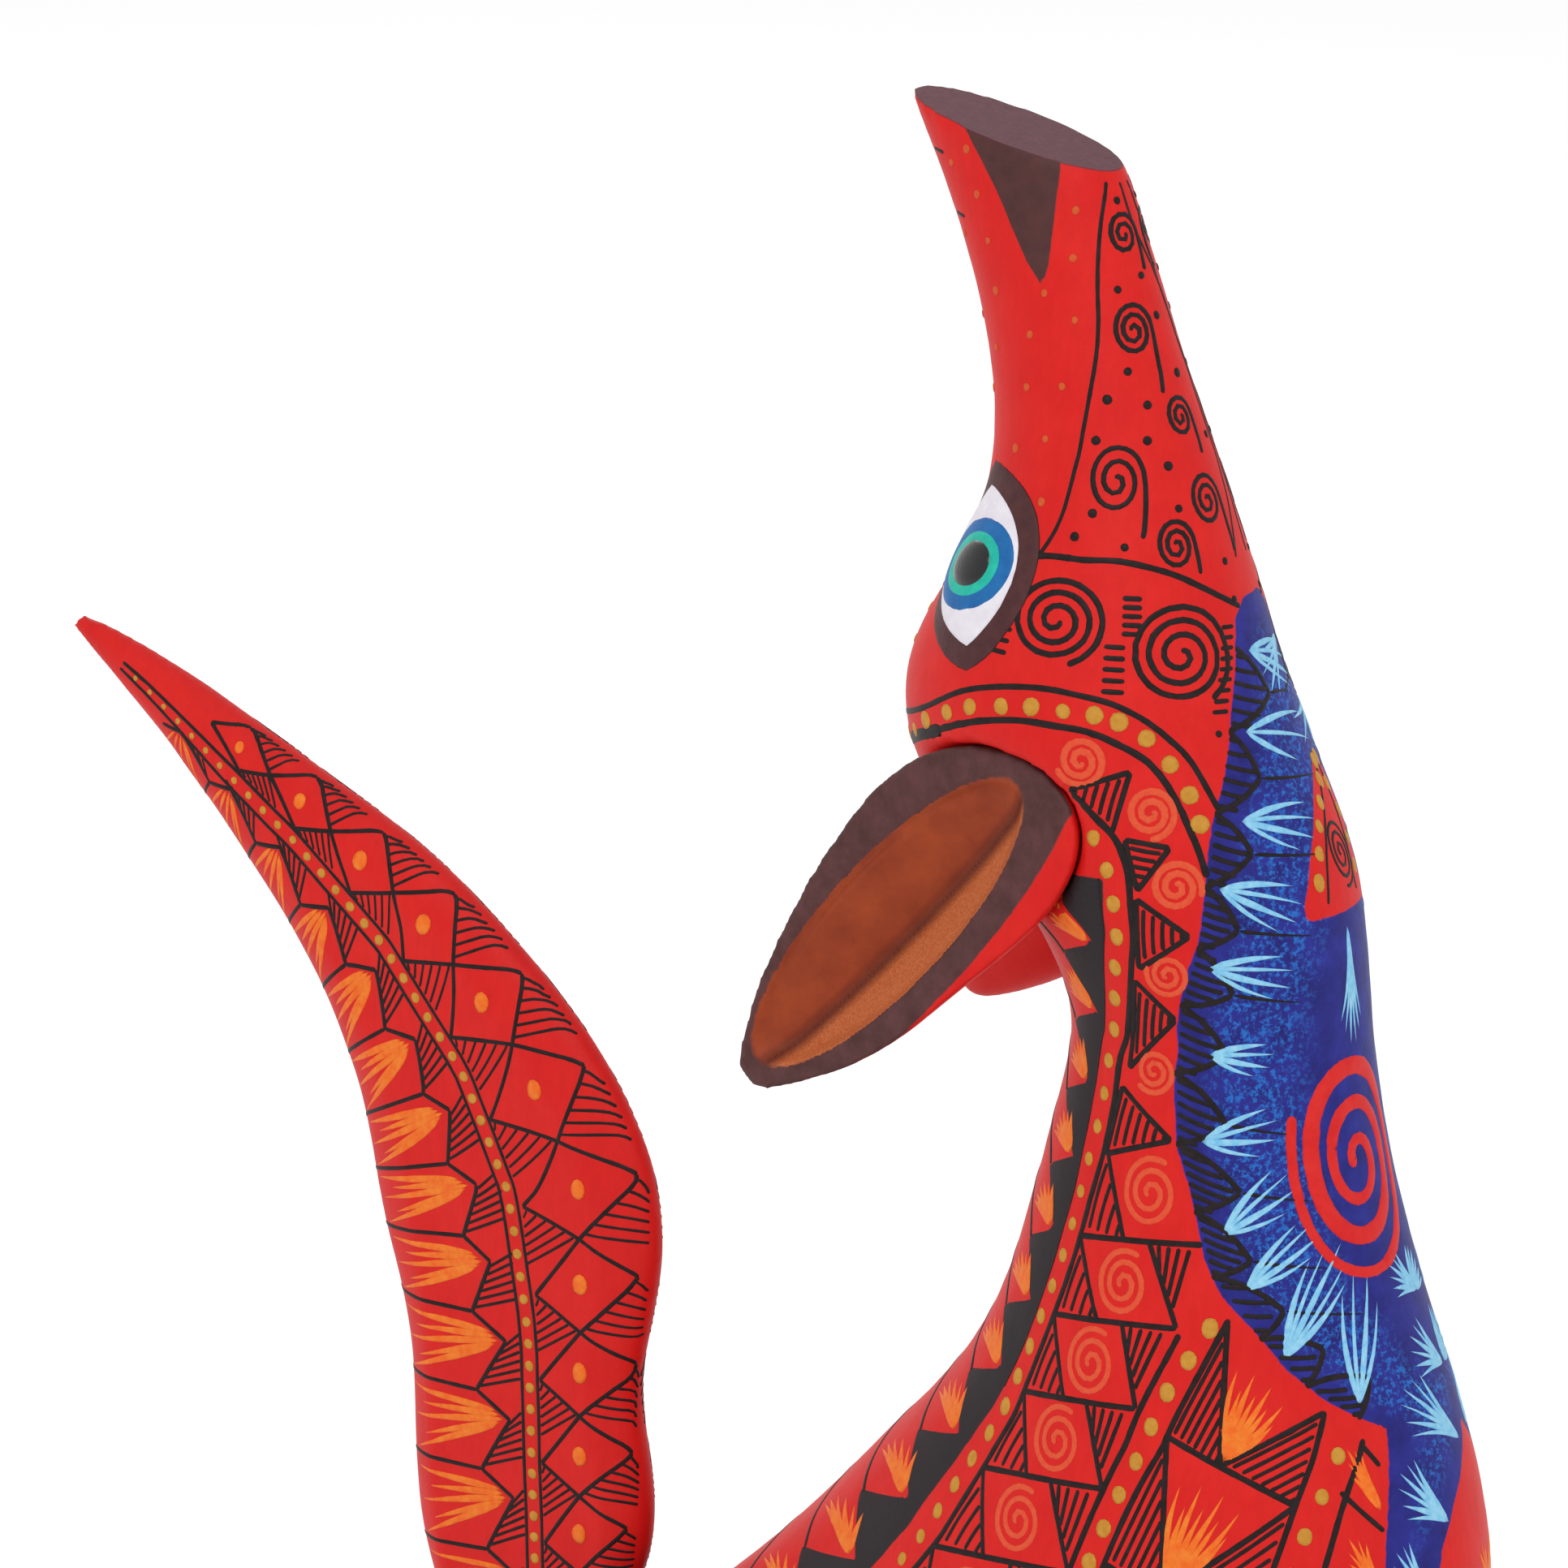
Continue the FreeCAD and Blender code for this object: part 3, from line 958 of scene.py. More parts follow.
@dataclass
class Body:
    """The carved trunk, head and legs, their ground coats and the pattern on them.

    Every guide is a list of heights, each with the angle there or, in spine, the forward place.

    Attributes:
        node: the carving in the frame.
        grain: the spacing of the skin's points.
        eye_spot: the middle of the eye.
        eye_bulge: how far the eye swells out.
        eye_reach: how far from its middle the swelling ends.
        chisel: the depth of the tool marks.
        nose_trim: how much the nose is cut back, so that the sawn end is clean.
        joints_below: the height under which the joints of the limbs are smoothed.
        joints_before: the place behind which they are left alone.
        joint_passes: how often they are smoothed.
        patch_place: the middle of the brown patch round the root of the tail.
        patch_radius: the radius of that patch.
        wedge_point: the height of the lower tip of the brown wedge under the nose.
        leg_reach: the widest that a foreleg is round its own middle line.
        spine: the middle line from the seat to the nose.
        blue_edge: the rear edge of the navy breast.
        breast_edge: its front edge, low down.
        panel_edge: the rear edge of the red panel on the throat.
        band_edge: the front edge of the charcoal band down the back.
        petal_top: the height of the first petal's tip.
        petal_pitch: the distance from one petal to the next.
        petal_rise: the share of that distance from a tip down to its notch.
        petal_gap: the angle from the band's front edge to the tips.
    """

    node: bpy.types.Object
    grain: float = 0.8
    eye_spot: Spot = (169.8, 122.0)
    eye_bulge: float = 1.0
    eye_reach: float = 9.5
    chisel: float = 0.14
    nose_trim: float = 0.5
    joints_below: float = 88.0
    joints_before: float = 30.0
    joint_passes: int = 22
    patch_place: tuple[float, float, float] = (0.0, 30.0, 52.0)
    patch_radius: float = 19.0
    wedge_point: float = 197.6
    leg_reach: float = 14.5
    spine: Guide = field(default_factory=lambda: [
        (-10, -3), (0, -1), (20, 5), (31, 14.5), (43.5, 26.5), (57, 38), (71.5, 45.5),
        (85.5, 49), (125, 49), (136, 45), (147, 38), (158, 34), (170, 35), (182, 34.5),
        (195, 31), (205, 27), (212, 24), (220, 20)])
    blue_edge: Guide = field(default_factory=lambda: [
        (167.5, -3), (165.6, 5), (161, 10), (156.9, 16), (152.5, 23), (148.2, 31),
        (141.3, 43), (136.2, 53), (132.8, 61), (129.4, 68), (126, 74), (121.3, 76),
        (115.4, 74), (110.4, 67), (104.5, 62), (100.8, 56), (97.5, 46), (94.2, 39),
        (90.8, 29), (88.6, 20), (87.8, 15), (84, 16), (78, 18), (66, 20), (56, 16)])
    breast_edge: Guide = field(default_factory=lambda: [
        (90, -22), (84, -12), (82, -7), (79, 0), (75, 6), (66, 10), (56, 14)])
    panel_edge: Guide = field(default_factory=lambda: [
        (153.5, -26), (152.6, -22), (150.7, -11), (148, -3), (142.7, 8), (138.6, 15),
        (137, 15.5)])
    band_edge: Guide = field(default_factory=lambda: [
        (141.2, 77), (136.8, 87), (129.7, 102), (124.2, 113), (119.1, 116), (108.7, 118),
        (101.8, 121), (94.7, 125), (87.4, 130), (82.8, 133), (75, 136), (60, 140),
        (40, 144), (12, 148)])
    petal_top: float = 134.4
    petal_pitch: float = 7.6
    petal_rise: float = 0.28
    petal_gap: float = 5.0

    def __post_init__(self) -> None:
        """Carve the wood first, because the paint is laid on the finished skin."""
        self.wood = self._carve()
        self.skin = Skin(self.wood)
        self.chart = Chart(self.skin, self.spine, front_line=FRONT_LINE)

    def _carve(self) -> bmesh.types.BMesh:
        """Smooth the joints of the limbs, swell the eyes and leave faint tool marks."""
        wood = carve_copy(self.node, self.grain, 2)
        limbs = [v for v in wood.verts if 1.5 * MM < v.co.z < self.joints_below * MM
                 and v.co.y < self.joints_before * MM]
        for _ in range(self.joint_passes):
            soften(wood, limbs, 0.6)
        rough = Chart(Skin(wood), self.spine)
        for side in Side:
            eye = rough.place(self.eye_spot, side)
            for point in wood.verts:
                away = (point.co - eye).length / MM
                if away < self.eye_reach:
                    swell = (1 - rise(0.35, 1.0, away / self.eye_reach)) * self.eye_bulge
                    point.co += point.normal * (swell * MM)
        for point in wood.verts:
            if point.co.z > 2 * MM and point.normal.z < 0.9:
                mark = noise.noise(point.co * 130) * 0.6 + noise.noise(point.co * 330) * 0.25
                point.co += point.normal * (mark * self.chisel * MM)
        self._cut_nose(wood)
        wood.normal_update()
        return wood

    def _cut_nose(self, wood: bmesh.types.BMesh) -> None:
        """Saw the nose off flat, leaving one crisp rim."""
        saw = (CUT_PLACE - CUT_WAY * self.nose_trim) * MM
        cut = bmesh.ops.bisect_plane(wood, geom=wood.verts[:] + wood.edges[:] + wood.faces[:],
                                     dist=0.0001 * MM, plane_co=saw, plane_no=CUT_WAY,
                                     clear_outer=True)
        rim = [e for e in cut["geom_cut"] if isinstance(e, bmesh.types.BMEdge)]
        filled = bmesh.ops.holes_fill(wood, edges=rim)["faces"]
        bmesh.ops.triangulate(wood, faces=filled)
        for edge in rim:
            edge.smooth = False

    @staticmethod
    def past_cut(point: Vector) -> float:
        """How far a point lies past the plane that ends the nose, in millimetres."""
        return (point / MM - CUT_PLACE).dot(CUT_WAY)

    def petal_edge(self, height: float) -> float:
        """The zigzag rear edge of the charcoal band at a height."""
        phase = ((self.petal_top - height) / self.petal_pitch) % 1.0
        rear = self.petal_rise
        saw = phase / rear if phase < rear else (1 - phase) / (1 - rear)
        depth = 15 + 6 * rise(100, 125, height)
        return follow(self.band_edge, height) + self.petal_gap + depth * saw

    def zones(self, point: Vector) -> dict[str, float]:
        """How far a point of the skin lies inside each coat, in millimetres.

        Args:
            point: the point, in metres.

        Returns:
            One signed distance for each coat's name.
        """
        height, angle, radius = self.chart.chart(point)
        arc = radius * math.pi / 180
        blue = [(follow(self.blue_edge, height) - angle) * arc, 167.3 - height, height - 57]
        if height < 90:
            blue.append((angle - follow(self.breast_edge, height)) * arc)
        panel = [(follow(self.panel_edge, height) - angle) * arc, height - 137.2,
                 153.2 - height]
        band_front = follow(self.band_edge, height)
        charcoal = [(angle - band_front) * arc, (self.petal_edge(height) - angle) * arc,
                    141.5 - height, height - 9]
        patch = self.patch_radius - (point / MM - Vector(self.patch_place)).length
        return {"blue": min(blue), "panel": min(panel), "charcoal": min(charcoal),
                "brown": max(self._nose_wedge(height, angle), patch),
                "nose_cut": self.past_cut(point) + self.nose_trim + 0.12}

    def _nose_wedge(self, height: float, angle: float) -> float:
        """How far a charted place lies inside the brown wedge under the nose."""
        if height < self.wedge_point - 1.6:
            return -3.0
        rear = follow([(self.wedge_point, 75.5), (199.6, 83.3), (206.1, 96), (212.2, 114),
                       (216, 124)], height)
        front = follow([(self.wedge_point, 74.5), (199.7, 64), (208.8, 33), (213, 22)], height)
        return min((rear - angle) * 0.12, (angle - front) * 0.12, height - self.wedge_point)

    def coat(self) -> None:
        """Store the zones on the skin and hand the body over."""
        layers = {name: self.wood.verts.layers.float.new(name)
                  for name in ("blue", "panel", "charcoal", "brown", "nose_cut")}
        for point in self.wood.verts:
            for name, value in self.zones(point.co).items():
                point[layers[name]] = value
        body = as_piece("painted_body", self.wood, BodyCoat().material(), "carving")
        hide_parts("carved_body")

    def brushes(self) -> dict[str, Brush]:
        """A fresh brush of every colour for this skin."""
        return {name: Brush(self.skin) for name in PAINTS}

    def paint(self) -> None:
        """Lay the whole pattern, region by region."""
        regions = {"snout": self.paint_snout, "head": self.paint_head,
                   "neck": self.paint_neck, "back": self.paint_back,
                   "breast": self.paint_breast, "flank": self.paint_flank,
                   "legs": self.paint_legs}
        for region, paint in regions.items():
            brushes = self.brushes()
            for side in Side:
                paint(Painter(self.chart, side, brushes))
            for name, brush in brushes.items():
                brush.piece("%s_%s" % (region, PAINTS[name].name), name, "carving",
                            "painted_body")

    def paint_snout(self, hand: Painter) -> None:
        """Fine lines from nose to eye, comma spirals and dots between them."""
        hand.line("black", [(207.4, 11), (202.3, 25), (197, 37), (191.7, 47), (186.5, 60),
                            (181.7, 71), (175.7, 79), (172, 88)], 0.5)
        hand.line("thin_black", [(207.2, 2.5), (203, 1.5), (197, -9), (189.6, -16),
                                 (183, -17), (177, -13.5), (171, -4.5)], 0.4)
        hand.line("black", [(171.8, 91), (172, 80), (171.9, 67), (171.9, 50), (170.8, 32),
                            (169.2, 19), (166.5, 1)], 0.75)
        commas = [((202.4, 10.5), 1.8, 2.1, (0.1, -3.7)), ((193.4, 21.9), 2.2, 2.5, (0.1, -6.4)),
                  ((184.9, 7.3), 1.75, 2.2, (0.1, -3.9)), ((179.4, 50.3), 2.9, 2.3, (-0.2, -5.6)),
                  ((176.9, 5.1), 2.2, 2.4, (0.4, -5.6)), ((173.2, 26), 2.1, 2.4, (0.2, -3.0))]
        for spot, radius, turns, tail in commas:
            hand.spiral("black", spot, radius, turns, 0.62, tail, tall=1.25)
        hand.dabs("black", [(205.6, 8.5), (197.3, 24.1), (189.6, 31.9), (188.9, -0.8),
                            (187, 47.8), (186.4, 25.7), (198.4, 6.5), (194.5, 3), (183.1, 59.7),
                            (183.1, 31.1), (180.6, 22.8), (176.3, 62.8), (174, 71.4),
                            (176.6, 21.8), (173.2, 48.5), (171, 3.7), (182.6, -11.8),
                            (167.3, 3.5)], 0.47)
        hand.dabs("faint", [(209.7, 118), (205.4, 119.8), (201, 119.1), (196.2, 123.3),
                            (190.5, 133.4), (204.8, 33.5), (200.3, 45.4), (196.8, 74.9),
                            (194.4, 57.4), (192.6, 94.8), (187.4, 104.5), (188, 75.5),
                            (181.3, 116.4), (182.8, 92.7), (176.8, 92), (208, 140),
                            (201, 150), (193, 155), (186, 150), (197, 172), (189, 178),
                            (181, 165), (204, 172)], 0.4, 1.15)
        if hand.side is Side.RIGHT:
            for spot in ((208.8, 152), (202.8, 148)):
                hand.line("black", [(spot[0], spot[1] - 6), (spot[0] + 0.1, spot[1] + 6)], 0.5)

    def paint_head(self, hand: Painter) -> None:
        """Cheek spirals with dash stacks, the dotted band, swirls round the ear."""
        hand.spiral("black", (166.1, 75.4), 5.1, 3.2, 0.74, begin=290, tall=0.88)
        hand.spiral("black", (163.0, 29.3), 5.7, 3.4, 0.74, begin=300, tall=0.92)
        stacks = [((168.5, 165.2), (50, 42.5), 5), ((164, 159.8), (56, 48.5), 5),
                  ((169.2, 162.6), (100, 92.5), 7)]
        for (high, low), (rear, front), count in stacks:
            for n in range(count):
                height = high + (low - high) * n / (count - 1)
                hand.line("black", [(height, rear), (height - 0.1, front)], 0.6)
        for n in range(9):
            height = 165 - n * 0.95
            edge = follow(self.blue_edge, height)
            hand.line("black", [(height, edge + 6.5), (height - 0.1, edge + 1.2)], 0.55)
        hand.dabs("black", [(155.4, 22)], 0.42)
        upper = [(151.6, 179), (152.2, 165), (152.8, 154), (154.8, 133), (157.8, 110),
                 (159.1, 95), (159.7, 78), (159.4, 65), (158.6, 52), (157.1, 43),
                 (155.1, 37), (153.1, 33), (148.5, 29.5)]
        lower = [(148.3, 179), (148.8, 170), (149.2, 162), (152.5, 132), (155.2, 106),
                 (156.3, 86), (156.2, 72), (155.9, 62), (154.9, 54), (153.3, 46),
                 (150.9, 42), (148.2, 40), (145.5, 39.6), (142.2, 41)]
        hand.line("black", upper, 0.72)
        hand.line("black", lower, 0.8)
        hand.line("black", [(149.3, 160), (151, 146), (152.6, 131), (153.6, 122)], 1.5)
        beads = [(150, 175), (150.1, 168), (150.3, 161), (150.7, 154), (152, 142),
                 (153.8, 131), (155.5, 117), (156.7, 105), (157.4, 91), (157.8, 79),
                 (157.7, 68), (157.5, 58), (156.9, 51), (155.4, 44), (152.9, 39.5),
                 (150, 36.5), (147.3, 36)]
        hand.dabs("ochre", beads, 0.92)
        hand.dabs("ochre", [(160, 156), (163.2, 158), (165.6, 161), (162, 172)], 0.5)
        swirls = [(153, 67), (148.3, 49.5), (141.2, 52)]
        for number, spot in enumerate(swirls):
            hand.spiral("coral", spot, 2.6, 2.4, 0.85, begin=200 + 70 * number)

    def paint_neck(self, hand: Painter) -> None:
        """The dotted stripe behind the jaw, hatched triangles and swirls down the neck."""
        triangles = [((150, 74), (152.2, 52), (146.2, 64)), ((140.6, 66), (145.6, 61), (145, 48)),
                     ((136.4, 56), (139.8, 68), (132.6, 80)),
                     ((127.7, 72), (131.3, 84), (122, 97))]
        for apex, one, two in triangles:
            hand.hatch((hand.at(apex), hand.at(one), hand.at(two)), 5, 0.6)
        hand.line("black", [(150, 74), (146.2, 64.5), (144.2, 64.5), (141.9, 66.5),
                            (137.2, 75), (131.1, 86), (123.2, 101.5), (118, 103.5),
                            (113.6, 105.5)], 0.85)
        for number, spot in enumerate(((132.3, 69), (122.2, 85))):
            hand.spiral("coral", spot, 2.3, 2.3, 0.7, begin=160 + 60 * number)
        hand.hatch((hand.at((115.6, 76)), hand.at((120, 100)), hand.at((113, 104.5))), 6, 0.6)
        stripe = [(147, 71.5), (144, 72), (141.5, 74), (138.5, 79), (131.8, 92), (124.1, 107),
                  (117.3, 110), (110.6, 113.5), (103.8, 116), (97.9, 120), (91.5, 124),
                  (83.2, 128), (75, 131), (60, 134.5), (40, 138.5), (16, 142)]
        hand.beads("ochre", stripe, 3.45, 0.72, 1.2)

    def paint_back(self, hand: Painter) -> None:
        """Petals along the back: a black rib and a brush of orange in each."""
        count = int((self.petal_top - 14) / self.petal_pitch)
        for number in range(count + 1):
            tip = self.petal_top - number * self.petal_pitch
            notch = tip - self.petal_rise * self.petal_pitch
            deep = self.petal_edge(notch + 0.05)
            point = follow(self.band_edge, tip) + self.petal_gap
            hand.line("black", [(notch, deep - 1), (notch + 2.2, deep + 6),
                                (notch + 5.6, (deep + 180) / 2 + 4), (notch + 6.6, 179.5)], 0.7)
            high = tip + 6.3
            hand.fan("orange", (tip + 0.15, point + 2.6), (high - 0.9, point + 9),
                     (tip + 1.2, min(176.0, point + 27)), 6, 1.25)
        if hand.side is Side.RIGHT:
            hand.beads("ochre", [(130, 179.5), (100, 179.5), (74, 179.5), (56, 179.5)], 4.4, 0.8,
                       1.2)
        hand.line("black", [(141.5, 78), (136.8, 87.5), *self.band_edge[2:9]], 0.3)

    def paint_breast(self, hand: Painter) -> None:
        """Black pointed scales with hatching along the navy, and sky-blue brush fans."""
        hand.brushes["sky"].film = 0.08
        notches = [(162.9, 8), (155.5, 18.5), (148.2, 31), (141.3, 43), (135.3, 55),
                   (129.4, 68), (122.4, 76), (115.4, 74), (109, 66), (102.8, 59.5),
                   (97, 45.5), (92.4, 34), (88.9, 22)]
        points = [(158, -2), (150.9, 14), (144.2, 25), (137, 39), (130.6, 47), (124.5, 55),
                  (117.6, 55), (111, 50), (104.4, 47), (99.6, 38), (95.8, 28), (92.6, 17)]
        for above, below, tip in zip(notches, notches[1:], points):
            start, end, peak = hand.at(above), hand.at(below), hand.at(tip)
            hand.short("black", start, peak, 0.7, Taper.EVEN, -0.08)
            hand.short("black", peak, end, 0.7, Taper.EVEN, -0.08)
            strokes, dip = (6, 0.3) if tip[0] > 100 else (4, 0.0)
            for n in range(strokes):
                share = (n + 0.6) / (strokes + 0.2)
                root = start.lerp(end, share)
                reach = 0.95 - abs(share - 0.45) * 1.1
                self._scale_stroke(hand, root, peak, reach, dip)
        for height, angle in points[:5] + points[6:10]:
            hand.line("black", [(height, angle), (height - 0.6, angle - 12),
                                (height - 1.2, max(-14.0, angle - 25))], 0.5, Taper.TAIL)
        fans = [((162.3, 2), (161.6, -22), (156.9, -20), 4), ((155.2, 13), (154.6, -18), (151.2, -4), 3),
                ((147.3, 24), (147.6, 1), (143.6, 9), 4), ((141.1, 39), (140.6, 16), (136.4, 25), 4),
                ((133.3, 53), (134.2, 26), (129.9, 32), 4), ((124.4, 62), (125.6, 38), (122.3, 44), 4),
                ((115.8, 64), (119.3, 39), (114.4, 42), 4), ((106.9, 56), (113.4, 38), (109, 34), 4),
                ((101.6, 49), (108, 31), (104.6, 27), 4), ((95.1, 39), (104.6, 28), (101.8, 17), 5),
                ((90.2, 21), (101.2, 20), (99.6, 8), 4)]
        for base, first, last, count in fans:
            hidden = hand.side is Side.LEFT and 138 < base[0] < 153
            if not hidden:
                hand.fan("sky", base, self._further(base, first, 1.28),
                         self._further(base, last, 1.28), count, 0.7)
        lower_fans = [((98.5, -12), (102.5, -5), (98.8, 0)), ((91, -13), (95.8, -6), (91, 0)),
                      ((84, -9), (90.6, 0), (86, 8)), ((77.4, 3), (83.4, 9), (78.6, 13)),
                      ((70, 9), (75.8, 13), (71.4, 16)), ((63, 12), (68.8, 15), (65, 18))]
        for base, first, last in lower_fans:
            hand.fan("sky", base, self._further(base, first, 1.5),
                     self._further(base, last, 1.4), 6, 0.75)
        for height in (70, 63, 56, 49):
            middle = follow(FRONT_LINE, height)
            hand.fan("orange", (height - 2, middle + 1), (height + 4.6, middle + 1),
                     (height + 2.4, middle + 7), 4, 0.8)
        hand.beads("ochre", [(151.6, -19.5), (148.8, -10.5), (145.6, -1), (142, 5),
                             (138.7, 9.5)], 2.9, 0.72, 1.25)
        hand.line("black", [(150.6, -14.5), (147.6, -8.5), (143, 0), (138.4, 5.5)], 0.45)
        if hand.side is Side.RIGHT:
            hand.spiral("black", (142.5, -8), 2.4, 3.0, 0.5, begin=250, tall=1.5)
            hand.fan("sky", (135.7, -2), (123.6, 9), (123.2, -9), 6, 0.66)
            self._great_swirl(hand)

    @staticmethod
    def _further(base: Spot, end: Spot, stretch: float) -> Spot:
        """A spot beyond an end, seen from a base."""
        return tuple(b + (e - b) * stretch for b, e in zip(base, end))

    @staticmethod
    def _scale_stroke(hand: Painter, root: Vector, peak: Vector, reach: float, dip: float) -> None:
        """One hatching stroke that runs from the edge of the navy towards a scale's tip."""
        place, out = hand.chart.skin.under(root)
        level = Vector((0, 0, 1)).cross(out).normalized()
        span = (peak - root).dot(level)
        end = place + level * (span * reach) + Vector((0, 0, -dip * abs(span) * reach))
        hand.short("black", place + level * (span * 0.04), end, 0.58, Taper.EVEN, 0.03)

    @staticmethod
    def _great_swirl(hand: Painter) -> None:
        """The broad red spiral on the breast, with its loose outer arm."""
        place, front, up = hand.frame((112.9, 5.6))
        path = []
        turns, wide, tall = 3.2, 9.0, 12.4
        for n in range(110):
            part = n / 109
            turn = math.radians(152) + (1 - part) * turns * math.tau
            reach = 0.05 + 0.95 * part
            path.append(place + front * (math.cos(turn) * wide * reach * MM)
                        + up * (math.sin(turn) * tall * reach * MM))
        hand.brushes["swirl_red"].film = 0.07
        for first, last, width in ((0, 42, 1.45), (40, 60, 1.75), (58, 88, 2.2), (86, 98, 1.7),
                                   (96, 110, 1.3)):
            hand.brushes["swirl_red"].stroke(path[first:last], width)

    def paint_flank(self, hand: Painter) -> None:
        """Rows of swirls and fans between dotted stripes, from the neck to the haunch."""
        rear = [(123.2, 102), (113.6, 105.5), (107.7, 109), (102.3, 111.5), (94.5, 117),
                (86.7, 122), (78.2, 125), (68, 128), (55, 131), (40, 134), (12, 138)]
        front = [(115, 74), (110, 67), (104.4, 62.5), (101.6, 61), (97, 69), (88, 81),
                 (79.5, 86), (65, 89), (45, 92), (12, 96)]
        hand.line("black", rear, 0.8)
        hand.line("black", front[4:], 0.75)
        tops = [114.4, 104.5, 96.2, 87.9, 79.5, 70.6, 60.6, 51.4, 42, 32.6, 23.2, 14]
        for top, low in zip(tops, tops[1:]):
            self._swirl_cell(hand, rear, front, top, low)
        second = [(98.8, 54), (94.4, 61), (87, 71), (79, 77), (65, 81), (45, 84), (12, 88)]
        middle = [(99.6, 57), (96.8, 61.5), (91.4, 71.5), (85.1, 78), (78, 81.5), (65, 85),
                  (45, 88), (14, 92)]
        third = [(90, 30), (81, 37), (67, 43), (53, 46.5), (40, 49)]
        hand.line("black", second, 0.72)
        hand.beads("ochre", middle, 3.9, 0.95, 1.2)
        hand.line("black", third, 0.72)
        hand.beads("ochre", [(87.6, 26), (83.4, 30), (77.2, 35), (66, 39), (53, 42),
                             (42, 44)], 4.3, 0.86, 1.2)
        hand.line("black", [(87, 21.5), (80, 27.5), (70, 32), (60, 35.5), (45, 39)], 0.72)
        starts = [(98.5, 89.9), (87, 81), (73.5, 67.5), (60.5, 54.5), (47.5, 42)]
        for (left, right), (next_left, next_right) in zip(starts, starts[1:]):
            self._fan_cell(hand, second, third, (left, right), (next_left, next_right))
        for height in (80.6, 72, 63, 54):
            hand.line("black", [(height + 1.6, 27.5), (height - 2.6, 18.5)], 0.6)
            hand.fan("orange", (height - 0.6, 18.8), (height + 7, 23.5), (height + 4.4, 28),
                     5, 0.85)
        hand.line("black", [(86.6, 22.4), (84.2, 18.2)], 0.6)

    @staticmethod
    def _swirl_cell(hand: Painter, rear: Guide, front: Guide, top: float, low: float) -> None:
        """One cell of the flank: a swirl between two hatched triangles."""
        corners = [hand.at((top, follow(rear, top))), hand.at((top + 1.3, follow(front, top))),
                   hand.at((low, follow(rear, low))), hand.at((low + 1.3, follow(front, low)))]
        upper_rear, upper_front, lower_rear, lower_front = corners
        first = top > 110
        bottom = lower_rear.lerp(lower_front, 0.40)
        over = upper_rear.lerp(upper_front, 0.96 if first else 0.60)
        hand.short("black", lower_rear, lower_front, 0.72)
        hand.short("black", upper_rear, bottom, 0.66)
        if not first:
            hand.short("black", over, lower_front, 0.66)
        hand.hatch((bottom, upper_rear, lower_rear), 4, 0.6, False)
        for n in range(0 if first else 4):
            share = (n + 0.9) / 5
            start = over.lerp(upper_front, share)
            end = over.lerp(lower_front, 0.25 + share * 0.72)
            hand.short("black", start.lerp(end, 0.08), end.lerp(start, 0.06), 0.55)
        middle = (over.lerp(bottom, 0.5) + upper_rear.lerp(lower_front, 0.5)) / 2
        height, angle, _ = hand.chart.chart(middle)
        size = min(3.1, (over - bottom).length / MM * 0.30)
        hand.spiral("coral", (height, angle), size, 2.5, 0.72, begin=60, tall=1.15)

    @staticmethod
    def _fan_cell(hand: Painter, rear: Guide, front: Guide, tops: Spot, lows: Spot) -> None:
        """One large cell: an orange brush fan between two hatched triangles."""
        upper_rear = hand.at((tops[0], follow(rear, tops[0])))
        upper_front = hand.at((tops[1], follow(front, tops[1])))
        lower_rear = hand.at((lows[0], follow(rear, lows[0])))
        lower_front = hand.at((lows[1], follow(front, lows[1])))
        foot = lower_rear.lerp(lower_front, 0.42)
        hand.short("black", lower_rear, lower_front, 0.75)
        hand.short("black", upper_rear, foot, 0.72)
        hand.short("black", upper_front, foot, 0.72)
        for n in range(7):
            share = (n + 0.7) / 7.4
            low, high = lower_rear.lerp(foot, share), upper_rear.lerp(foot, share)
            hand.short("black", high.lerp(low, 0.06), low.lerp(high, 0.05), 0.5)
            low, high = foot.lerp(lower_front, share), upper_front.lerp(lower_front, share)
            hand.short("black", high.lerp(low, 0.05), low.lerp(high, 0.06), 0.5)
        root = foot.lerp(upper_rear.lerp(upper_front, 0.5), 0.06)
        for n in range(8):
            share = n / 7
            end = upper_rear.lerp(upper_front, 0.16 + 0.68 * share)
            reach = (0.58 if n % 2 else 0.74) + 0.1 * math.sin(math.pi * share)
            hand.short("orange", root, root.lerp(end, reach), 0.95, Taper.LEAF,
                       (share - 0.5) * 0.12)

    def paint_legs(self, hand: Painter) -> None:
        """Bands, swirls and claws on the legs, and toes on the hind feet."""
        lane = hand.side.value
        leg = Chart(self.skin, [(0, 72), (10, 71), (26, 68.5), (40, 65)], offset=14.0)
        shin = Painter(leg, hand.side, hand.brushes)
        for height, width in ((33, 0.7), (28.5, 0.7), (17.5, 0.6), (13.5, 0.6)):
            self._leg_band(shin, height, width)
        for angle in range(10, 360, 30):
            for spot, size in (((30.8, angle), 0.8), ((15.5, angle + 10), 0.62)):
                if self._on_leg(shin, spot):
                    shin.dabs("ochre", [spot], size)
        for angle in (20, 90, 160, 340):
            if self._on_leg(shin, (23, angle)):
                shin.spiral("coral", (23, angle), 2.3, 2.3, 0.6)
        self._haunch(hand)
        for height, angle in ((49, 30), (42, 33), (56, 24)):
            hand.spiral("coral", (height, angle), 2.5, 2.4, 0.65)
        for height, angle in ((45.5, 26), (52.5, 33), (38.6, 28)):
            hand.dabs("ochre", [(height, angle), (height, angle + 3.5)], 0.7)
        for angle in (-60, -20, 20, 60):
            shin.fan("orange", (5.2, angle), (9.6, angle - 9), (9.6, angle + 9), 3, 0.8)
        for start in range(0, 360, 40):
            shin.short("black", shin.at((12.8, start)), shin.at((9, start + 14)), 0.5)
